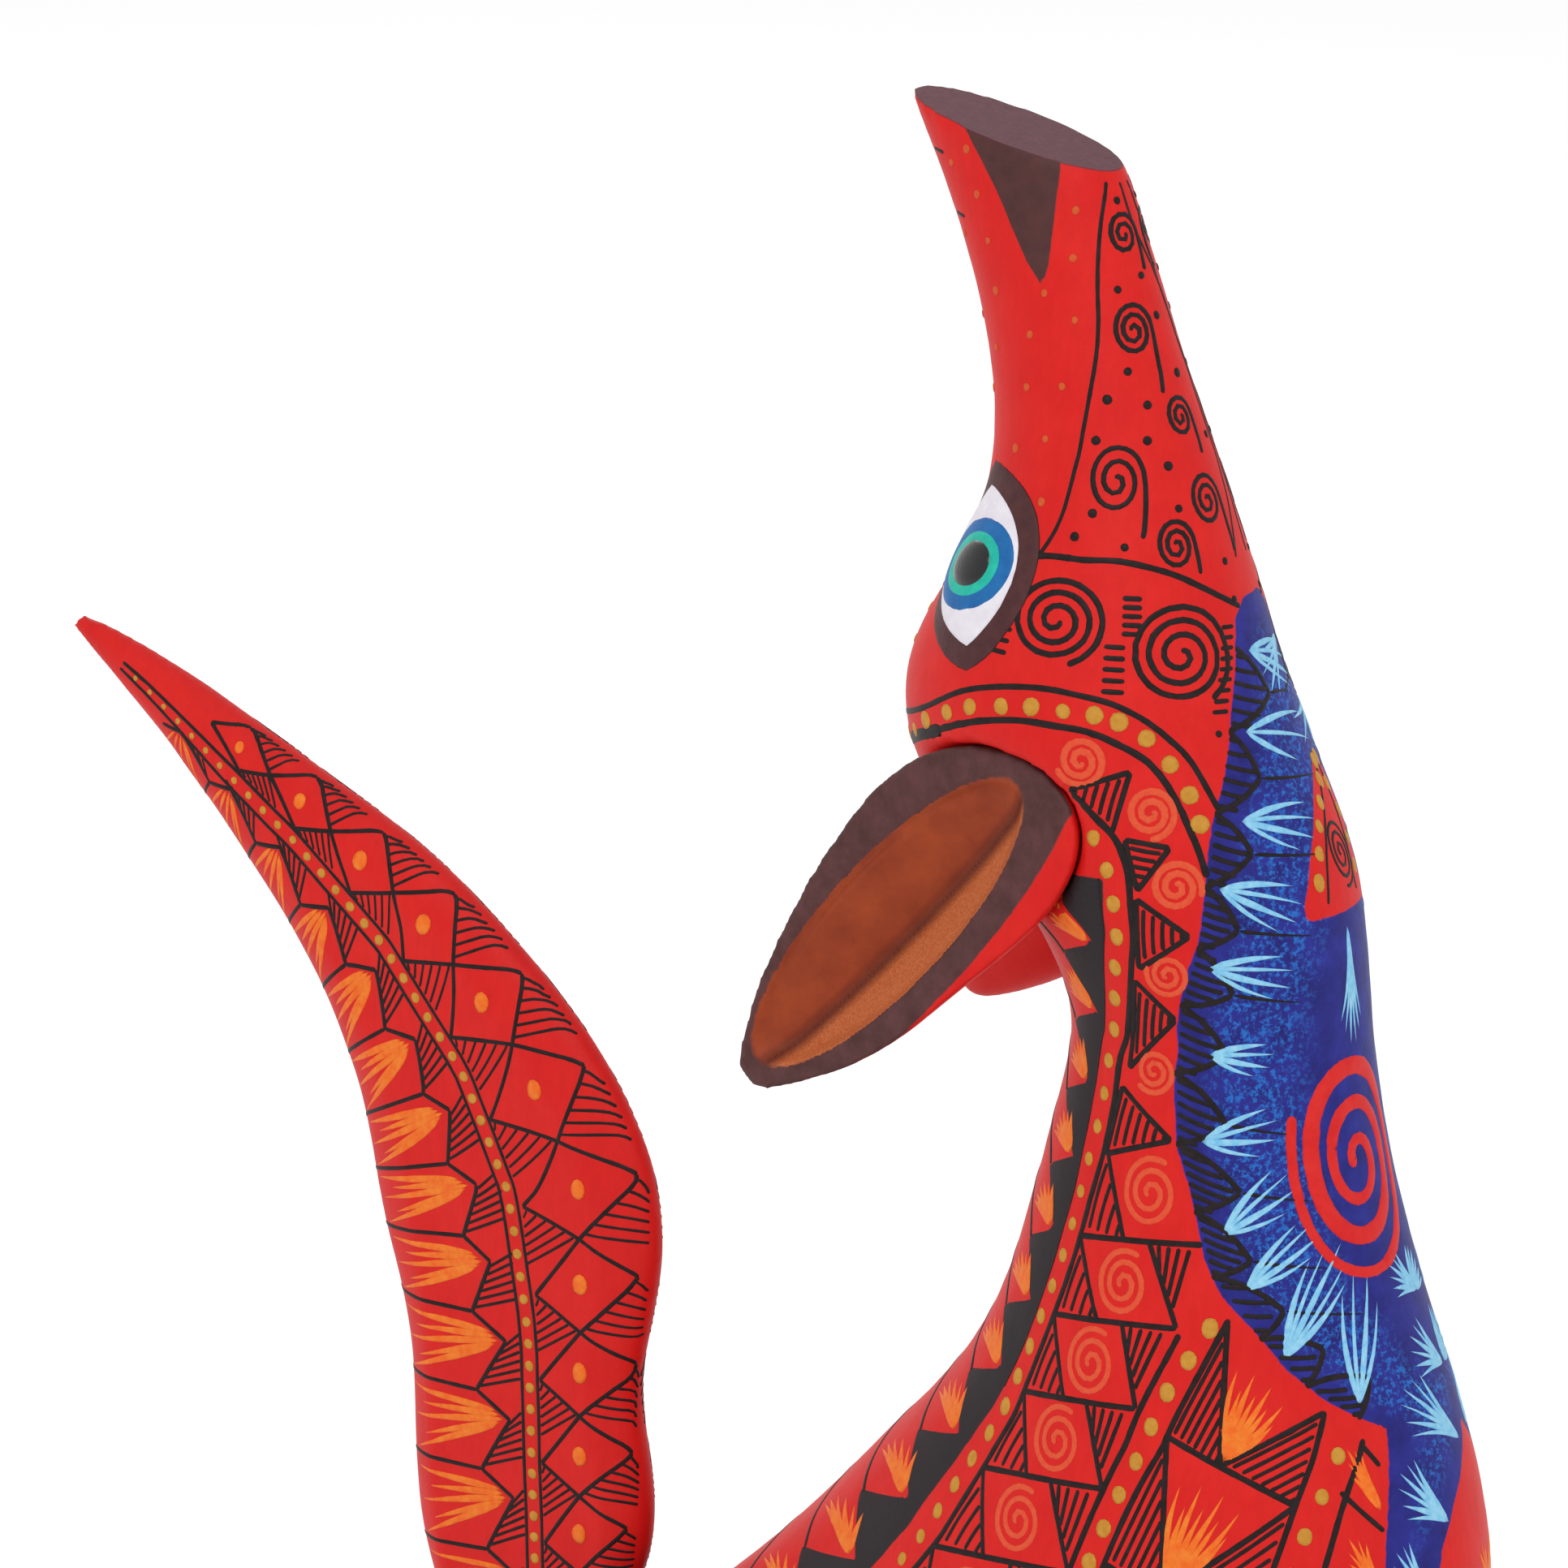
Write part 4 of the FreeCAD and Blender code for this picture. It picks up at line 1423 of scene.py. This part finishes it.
            shin.short("black", shin.at((9, start + 14)), shin.at((12.8, start + 28)), 0.5)
        for toe in (-3.6, 0.0, 3.6):
            claw = Vector(((14 + toe) * lane, -90, 4)) * MM
            heel = Vector(((14 + toe * 0.8) * lane, -78, 9.5)) * MM
            hand.short("black", heel, claw, 0.8, Taper.TAIL)
            claw = Vector(((22 + toe) * lane, -54, 4)) * MM
            heel = Vector(((22 + toe * 0.8) * lane, -38, 11)) * MM
            hand.short("black", heel, claw, 0.8, Taper.TAIL)
            hand.brushes["ochre"].dab(heel + Vector((0, 3, 0.6)) * MM, 0.8)
        for n in range(5):
            place = Vector(((22 + 2 * math.sin(n)) * lane, -18 + n * 7.4, 1)) * MM
            hand.brushes["ochre"].dab(place + Vector((14 * lane, 0, 6)) * MM, 0.85)

    def _on_leg(self, shin: Painter, spot: Spot) -> bool:
        """Whether a charted place is on the free part of a foreleg."""
        return shin.chart.chart(shin.at(spot))[2] < self.leg_reach

    def _leg_band(self, shin: Painter, height: float, width: float) -> None:
        """A black band round the free part of a foreleg."""
        run = []
        for angle in range(0, 373, 12):
            if self._on_leg(shin, (height, angle)):
                run.append(shin.at((height, angle)))
                continue
            if len(run) > 3:
                shin.brushes["black"].stroke(run, width)
            run = []
        if len(run) > 3:
            shin.brushes["black"].stroke(run, width)

    @staticmethod
    def _haunch(hand: Painter) -> None:
        """A dotted arc, a swirl and a row of hatched points on the thigh."""
        hand.line("black", [(38, 52), (30, 64), (21, 72), (11, 76)], 0.65)
        hand.line("black", [(33, 44), (26, 56), (18, 64), (9, 68)], 0.65)
        hand.beads("ochre", [(35.5, 48), (28, 60), (19.5, 68), (10, 72)], 3.6, 0.8, 1.2)
        hand.spiral("coral", (21, 48), 4.4, 2.9, 0.95)
        for number in range(3):
            angle = 34 + number * 9
            hand.hatch((hand.at((12.5, angle + 4)), hand.at((6, angle)),
                        hand.at((6, angle + 8))), 4, 0.5)


@dataclass
class Eye:
    """One eye, laid in coats over the swelling of the head.

    Attributes:
        body: the carving that it is painted on.
        side: the side that it is on.
        almond_tall: half the height of the brown surround.
        almond_wide: half its width.
        white_tall: half the height of the white.
        white_wide: half its width.
        iris: the radius of the blue.
        ring: the radius of the turquoise.
        pupil: the radius of the pupil.
        round_wide: the width of the three round coats over their height.
        lean: how far the whole eye is turned, in degrees.
        shift: how far it is moved to the front.
        points: how many points an edge has.
    """

    body: Body
    side: Side
    almond_tall: float = 10.8
    almond_wide: float = 9.0
    white_tall: float = 8.4
    white_wide: float = 6.4
    iris: float = 4.8
    ring: float = 3.5
    pupil: float = 2.55
    round_wide: float = 1.24
    lean: float = 17.0
    shift: float = 0.35
    points: int = 48

    def outline(self, wide: float, tall: float, sharp: float) -> list[float]:
        """Distances to the edge of an almond, all round.

        Args:
            wide: half its width.
            tall: half its height.
            sharp: 1 for an ellipse, more for pointed ends.

        Returns:
            Distances evenly spaced from the front direction.
        """
        edge = []
        for n in range(self.points):
            turn = math.tau * n / self.points
            x, y = abs(math.cos(turn)), abs(math.sin(turn))
            low, high = 0.0, tall * 1.5
            for _ in range(30):
                middle = (low + high) / 2
                bow = max(0.0, 1 - (middle * y / tall) ** 2) ** sharp
                inside = middle * x <= wide * bow and middle * y <= tall
                low, high = (middle, high) if inside else (low, middle)
            edge.append(low)
        return edge

    def clipped(self, radius: float, frame: list[float], margin: float) -> list[float]:
        """A circle's edge kept inside an almond.

        Args:
            radius: the circle's.
            frame: the almond's edge.
            margin: how far inside the almond the circle stays.

        Returns:
            Distances to the edge, all round.
        """
        circle = self.rounded(radius)
        return [min(round_edge, reach - margin) for round_edge, reach in zip(circle, frame)]

    def rounded(self, radius: float) -> list[float]:
        """The edge of a disc, a little wider than tall to suit the sloping socket."""
        edge = []
        for n in range(self.points):
            turn = math.tau * n / self.points
            edge.append(radius / math.hypot(math.cos(turn) / self.round_wide, math.sin(turn)))
        return edge

    def paint(self) -> None:
        """Lay surround, white, iris, ring and pupil over each other."""
        hand = Painter(self.body.chart, self.side, {})
        place, front, up = hand.frame(self.body.eye_spot)
        turn = math.radians(self.lean)
        across = front * math.cos(turn) + up * math.sin(turn)
        along = up * math.cos(turn) - front * math.sin(turn)
        place = place + across * (self.shift * MM)
        white = self.outline(self.white_wide, self.white_tall, 0.82)
        layers = [("eye_brown", self.outline(self.almond_wide, self.almond_tall, 0.78), 0.16, 0.25),
                  ("eye_white", white, 0.34, 0.3),
                  ("eye_blue", self.clipped(self.iris, white, 0.05), 0.48, 0.3),
                  ("eye_ring", self.rounded(self.ring), 0.60, 0.3),
                  ("pupil", self.rounded(self.pupil), 1.15, 0.8)]
        word = self.side.name.lower()
        for paint, outline, lift, crown in layers:
            brush = Brush(self.body.skin)
            brush.disc(place, across, along, outline, lift, crown)
            brush.piece("%s_%s" % (word, PAINTS[paint].name), paint, "carving",
                        "painted_body")


# ---------------------------------------------------------------- the ears


@dataclass
class Ear:
    """One ear: a pointed hull with a flat rim and a hollow in two facets.

    Attributes:
        node: the ear in the frame.
        side: the side that it is on.
        place: how far out, forward and up its middle is.
        slope: how steeply it hangs, in degrees.
        splay: how far its tip turns out.
        roll: how far it is turned on its own length.
        grain: the spacing of the skin's points.
        hollow_middle: the middle of the hollow, across and along the ear.
        hollow_half: half its width and half its length.
        hollow_deep: how deep it is.
        crease: where its two facets meet, across the ear.
        rim_edge: the share of the hollow's reach at which its depth starts to run out.
        bowl_edge: the share at which the hollow ends.
        bowl_depth: the lowest point that can belong to the hollow.
        chisel: the depth of the tool marks.
        sanding: how often the whole ear is smoothed at the end.
    """

    node: bpy.types.Object
    side: Side
    place: tuple[float, float, float] = (17.2, 30.9, 142.8)
    slope: float = 47.8
    splay: float = 5.0
    roll: float = 6.0
    grain: float = 0.42
    hollow_middle: Spot = (1.0, 13.5)
    hollow_half: Spot = (6.6, 21.5)
    hollow_deep: float = 5.0
    crease: float = -0.2
    rim_edge: float = 0.82
    bowl_edge: float = 1.02
    bowl_depth: float = -5.2
    chisel: float = 0.07
    sanding: int = 3

    def axes(self) -> tuple[Vector, Vector, Vector, Vector]:
        """The ear's middle, and the directions across it, along it and out of its rim."""
        turn = (Matrix.Rotation(math.radians(-self.slope), 3, "X")
                @ Matrix.Rotation(math.radians(-90), 3, "Y")
                @ Matrix.Rotation(math.radians(self.splay), 3, "X")
                @ Matrix.Rotation(math.radians(self.roll), 3, "Y"))
        middle = Vector((-self.place[0], -self.place[1], self.place[2])) * MM
        flip = Vector((1.0 if self.side is Side.RIGHT else -1.0, 1.0, 1.0))
        ways = [Vector(turn.col[n]) * flip for n in range(3)]
        return middle * flip, *ways

    def finish(self) -> None:
        """Carve the two facets of the hollow, store the zones and hand the ear over."""
        middle, across, along, out = self.axes()
        ear = carve_copy(self.node, self.grain, 5)
        names = ("rim", "hollow", "facet", "crease")
        layers = {name: ear.verts.layers.float.new(name) for name in names}
        for point in ear.verts:
            local = (point.co - middle) / MM
            t, s, z = local.dot(across), local.dot(along), local.dot(out)
            t_part = (t - self.hollow_middle[0]) / self.hollow_half[0]
            s_part = (s - self.hollow_middle[1]) / self.hollow_half[1]
            reach = math.hypot(t_part, s_part)
            facing = point.normal.dot(out) > -0.15
            bowl = reach < self.bowl_edge and facing and z > self.bowl_depth
            if bowl and z < 0.4:
                rim_way = 1 - rise(self.rim_edge, 1.0, reach)
                deep = self.hollow_deep * math.sqrt(max(0.0, 1 - s_part ** 2))
                side_way = abs(t - self.crease) / (self.hollow_half[0] * 1.02)
                wanted = 0.1 - deep * max(0.0, 1 - side_way) * 0.98
                point.co += out * ((wanted - z) * rim_way * 0.85 * MM)
            low_side = 1.45 + 0.4 * rise(-2, 3, t)
            point[layers["rim"]] = min(z + 0.75, (low_side - reach) * self.hollow_half[0])
            edge_t = self.hollow_half[0] * (1 - reach)
            point[layers["hollow"]] = min(edge_t * 1.1, 4.0) if bowl else -2.0
            # Painted light and shade: which side of the crease each point is on and how far from it, for
            # the coat's lit facet, shaded facet and dark crease line.
            point[layers["facet"]] = self.crease - t
            point[layers["crease"]] = abs(t - self.crease)
        for point in ear.verts:
            mark = noise.noise(point.co * 220) * self.chisel * MM
            point.co += point.normal * mark
        word = self.side.name.lower()
        for _ in range(self.sanding):
            soften(ear, list(ear.verts), 0.5)
        piece = as_piece("painted_%s_ear" % word, ear, EarCoat().material(), word + "_ear")
        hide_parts(word + "_ear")


# ---------------------------------------------------------------- the tail


@dataclass
class Tail:
    """The tail blade, with petals behind a dotted stripe and diamonds in front of it.

    Attributes:
        node: the tail in the frame.
        grain: the spacing of the skin's points.
        rows: forward place, height, lean in degrees and half width, from root to tip.
        petals: how many petals each flank has.
        petal_pitch: the distance from one petal to the next.
        diamonds: how many diamonds each flank has.
        diamond_pitch: the distance from one diamond to the next.
        rear_share: the share of the half width past which paint wraps over the rear edge.
        front_share: the same for the front edge.
        chisel: the depth of the tool marks.
        stripe: where the dotted stripe runs, as a way along and a share of the half width.
    """

    node: bpy.types.Object
    grain: float = 0.55
    rows: list[tuple[float, float, float, float]] = field(default_factory=lambda: [
        (-33.1, 36.2, -20, 7.2), (-35.6, 41.6, -14, 9.8), (-36, 48.6, -8, 13.6),
        (-36.7, 64, -2, 15), (-37.2, 78, -3, 16.2), (-38.4, 91, -12, 18.2),
        (-44.2, 103, -28, 15.6), (-54, 115, -42, 11.6), (-65.6, 124.6, -52, 8),
        (-77.7, 133.2, -57, 5), (-86.5, 138.8, -58, 3.2), (-96.6, 144, -60, 0.9)])
    petals: int = 13
    petal_pitch: float = 8.7
    diamonds: int = 12
    diamond_pitch: float = 9.2
    rear_share: float = -0.93
    front_share: float = 0.92
    chisel: float = 0.1
    stripe: Guide = field(default_factory=lambda: [
        (8, 0.18), (20, 0.18), (38, 0.18), (46, 0.14), (55, 0.09), (88, 0.1), (100, 0.12),
        (112, 0.05), (128, 0.0)])

    def __post_init__(self) -> None:
        """Smooth the wood and measure along the blade."""
        self.wood = carve_copy(self.node, self.grain, 2)
        for point in self.wood.verts:
            point.co += point.normal * (noise.noise(point.co * 150) * self.chisel * MM)
        self.skin = Skin(self.wood)
        self.ways = [0.0]
        for first, second in zip(self.rows, self.rows[1:]):
            span = math.hypot(second[0] - first[0], second[1] - first[1])
            self.ways.append(self.ways[-1] + span)

    def half(self, along: float) -> float:
        """Half the blade's width at a way along it."""
        return follow(list(zip(self.ways, (row[3] for row in self.rows))), along)

    def at(self, along: float, across: float, side: Side) -> Vector:
        """The place on one flank, from the way along and the share across, front positive."""
        asked, across = across, max(self.rear_share, min(self.front_share, across))
        forward, height, lean, half = (
            follow(list(zip(self.ways, (row[n] for row in self.rows))), along)
            for n in range(4))
        turn = math.radians(lean)
        forward += across * half * math.cos(turn)
        height -= across * half * math.sin(turn)
        start = Vector((side.value * 12, -forward, height)) * MM
        hit = self.skin.tree.ray_cast(start, Vector((-side.value, 0, 0)))[0]
        if hit is None:
            hit = self.skin.under(start)[0]
        past = (asked - across) * half * MM
        if past != 0.0:
            hit = self.skin.under(hit + Vector((0, -math.cos(turn), -math.sin(turn))) * past)[0]
        return hit

    def paint(self) -> None:
        """Lay the pattern on both flanks, then the coat."""
        brushes = {name: Brush(self.skin) for name in ("black", "ochre", "orange")}
        for side in Side:
            self._paint_stripe(brushes, side)
            for number in range(self.petals):
                self._petal(brushes, side, 7.0 + number * self.petal_pitch)
            for number in range(self.diamonds):
                self._diamond(brushes, side, 4.6 + number * self.diamond_pitch)
        for name, brush in brushes.items():
            brush.piece("tail_" + PAINTS[name].name, name, "tail", "painted_tail")
        # Painted shade: how far each point faces away from the flanks, which the coat turns into darker
        # edges.
        edge_shade_layer = self.wood.verts.layers.float.new("edge")
        for point in self.wood.verts:
            point[edge_shade_layer] = 1 - abs(point.normal.x)
        piece = as_piece("painted_tail", self.wood, TailCoat().material(), "tail")
        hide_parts("tail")

    def _draw(self, brush: Brush, side: Side, first: Spot, last: Spot, width: float,
              taper: Taper = Taper.EVEN) -> None:
        """One stroke between two places given by way along and share across."""
        path = [self.at(first[0] + (last[0] - first[0]) * n / 8,
                        first[1] + (last[1] - first[1]) * n / 8, side) for n in range(9)]
        brush.stroke(path, width, taper)

    def _paint_stripe(self, brushes: dict[str, Brush], side: Side) -> None:
        """Two black lines with ochre dabs between them."""
        for shift in (-1.02, 1.02):
            path = []
            for n in range(62):
                along = 6 + n * 2
                path.append(self.at(along, follow(self.stripe, along)
                                    + shift * min(1.0, self.half(along) / 6) / self.half(along),
                                    side))
            brushes["black"].stroke(path, 0.5)
        for n in range(50):
            along = 8 + n * 2.4
            size = 0.6 * min(1.0, 0.35 + self.half(along) / 16)
            brushes["ochre"].dab(self.at(along, follow(self.stripe, along), side), size)

    def _petal(self, brushes: dict[str, Brush], side: Side, low: float) -> None:
        """One petal at the rear edge, with its orange brush and the hatching round its tip."""
        black, high = brushes["black"], low + self.petal_pitch
        line = 0.55 * min(1.0, 0.4 + self.half(low) / 12)
        notch, top_notch = (-0.28 - 0.16 * rise(62, 100, w) for w in (low, high))
        tip = (low + self.petal_pitch * 0.68, -0.12 + 0.12 * rise(48, 30, low))
        self._draw(black, side, (low + 0.6, -1.04), (low, notch), line)
        self._draw(black, side, (low, notch), tip, line * 1.1)
        self._draw(black, side, tip, (high, top_notch), line * 1.1)
        stripe = follow(self.stripe, low) - 1.2 / self.half(low)
        for n in range(6):
            share = (n + 0.5) / 6
            way = low + (tip[0] - low) * share
            start = notch + (tip[1] - notch) * share
            self._draw(black, side, (way, start + 0.01), (way + 1.6, stripe), line * 0.72)
        for n in range(5):
            share = n / 4
            root = (tip[0] + (share - 0.5) * 1.6, tip[1] - 0.06 - abs(share - 0.5) * 0.12)
            end = (low + 0.9 + (self.petal_pitch - 1.8) * share,
                   -0.92 + (0.12 if n % 2 else 0.0))
            self._draw(brushes["orange"], side, root, end,
                       0.95 * min(1.0, self.half(low) / 13), Taper.LEAF)

    def _diamond(self, brushes: dict[str, Brush], side: Side, low: float) -> None:
        """One diamond in front of the stripe, its dot and the hatching to the front edge."""
        black, pitch = brushes["black"], self.diamond_pitch
        line = 0.55 * min(1.0, 0.4 + self.half(low) / 12)
        gap = follow(self.stripe, low) + 1.3 / self.half(low)
        left = (low + pitch * 0.35, gap)
        top = (low + pitch, 0.6)
        right = (low + pitch * 0.6, 1.0)
        bottom = (low, 0.6)
        for first, last in ((bottom, left), (left, top), (top, right), (right, bottom)):
            self._draw(black, side, first, last, line)
        size = 0.95 * min(1.0, self.half(low) / 11)
        brushes["orange"].dab(self.at(low + pitch * 0.52, 0.6, side), size, 0.16, 1.25)
        for n in range(6):
            share = (n + 0.6) / 6
            way = bottom[0] + (right[0] - bottom[0]) * share
            self._draw(black, side, (way, bottom[1] + (right[1] - bottom[1]) * share),
                       (way - 1.4, 1.13), line * 0.72)
            way = bottom[0] + (left[0] - bottom[0]) * share
            start = bottom[1] + (left[1] - bottom[1]) * share
            self._draw(black, side, (way - 0.2, start), (way - 2.6 * (1 - share) - 0.8, gap),
                       line * 0.66)


# ---------------------------------------------------------------- the studio


@dataclass
class Studio:
    """The pale floor, the soft light and the camera.

    Attributes:
        azimuth: the camera's way round the figure, in degrees from straight ahead.
        elevation: its angle over the level.
        distance: how far it is from its target.
        target: where it looks.
        view_width: the width of what it sees at that distance.
        sensor: the width of its sensor.
        room_light: the strength of the white room.
    """

    azimuth: float = -55.0
    elevation: float = 15.0
    distance: float = 900.0
    target: tuple[float, float, float] = (-25.7, -14.1, 148.4)
    view_width: float = 154.56
    sensor: float = 36.0
    room_light: float = 0.96

    def build(self) -> None:
        """Set everything up round the figure."""
        self._floor()
        self._lights()
        self._camera()

    def _floor(self) -> None:
        """One large pale sheet under the figure."""
        sheet = bmesh.new()
        bmesh.ops.create_grid(sheet, x_segments=8, y_segments=8, size=9.0)
        mesh = bpy.data.meshes.new("studio_floor")
        sheet.to_mesh(mesh)
        sheet.free()
        graph = Graph("studio_floor_paint")
        tone = graph.mix(graph.noise(400.0, 2.0, 0.5), (0.955, 0.955, 0.957), (0.975, 0.975, 0.977))
        matt = {"Specular IOR Level": 0.1}
        mesh.materials.append(graph.finish(tone, 0.9, None, 0.02, **matt))
        floor = bpy.data.objects.new("studio_floor", mesh)
        bpy.context.scene.collection.objects.link(floor)

    def _lights(self) -> None:
        """A white room, a large soft key from the upper left and a gentle fill."""
        world = bpy.data.worlds.new("white_room")
        world.use_nodes = True
        background = world.node_tree.nodes["Background"]
        background.inputs["Color"].default_value = (1.0, 1.0, 1.0, 1.0)
        background.inputs["Strength"].default_value = self.room_light
        bpy.context.scene.world = world
        lamps = {"key_light": ((-0.75, -0.35, 0.95), 0.55, 3.4),
                 "fill_light": ((-0.15, -1.1, 0.45), 0.7, 0.6),
                 "rim_light": ((0.6, 0.7, 0.8), 0.6, 1.2)}
        middle = Vector(self.target) * MM
        for name, (place, size, power) in lamps.items():
            light = bpy.data.lights.new(name, "AREA")
            light.shape = "DISK"
            light.size = size
            light.energy = power
            lamp = bpy.data.objects.new(name, light)
            bpy.context.scene.collection.objects.link(lamp)
            lamp.location = Vector(place)
            aim = middle - lamp.location
            lamp.rotation_euler = aim.to_track_quat("-Z", "Y").to_euler()

    def _camera(self) -> None:
        """The camera, level with the throat and a little above it."""
        lens = bpy.data.cameras.new("studio_camera")
        lens.sensor_width = self.sensor
        lens.lens = self.sensor * self.distance / self.view_width
        lens.clip_start = 0.05
        lens.clip_end = 30.0
        camera = bpy.data.objects.new("studio_camera", lens)
        bpy.context.scene.collection.objects.link(camera)
        around, above = math.radians(self.azimuth), math.radians(self.elevation)
        away = Vector((math.sin(around) * math.cos(above), -math.cos(around) * math.cos(above),
                       math.sin(above)))
        camera.location = (Vector(self.target) + away * self.distance) * MM
        camera.rotation_euler = (-away).to_track_quat("-Z", "Y").to_euler()
        bpy.context.scene.camera = camera
        bpy.context.scene.view_settings.view_transform = "Standard"


def dress_pegs(nodes: dict[str, bpy.types.Object]) -> None:
    """Give the pegs of the frame their bare wood."""
    wood = BareWood().material()
    for name, node in nodes.items():
        if name.endswith("_peg"):
            for number in range(len(node.material_slots)):
                node.material_slots[number].material = wood
            LOG.info("%s: bare wood", name)


def main() -> None:
    """Build the whole figure round the frame."""
    logging.basicConfig(level=logging.INFO, format="%(name)s: %(message)s")
    nodes = frame["nodes"]
    body = Body(nodes["carved_body"])
    body.paint()
    for side in Side:
        Eye(body, side).paint()
    body.coat()
    for side in Side:
        Ear(nodes[side.name.lower() + "_ear"], side).finish()
    Tail(nodes["tail"]).paint()
    dress_pegs(nodes)
    Studio().build()


if __name__ == "__main__":
    main()
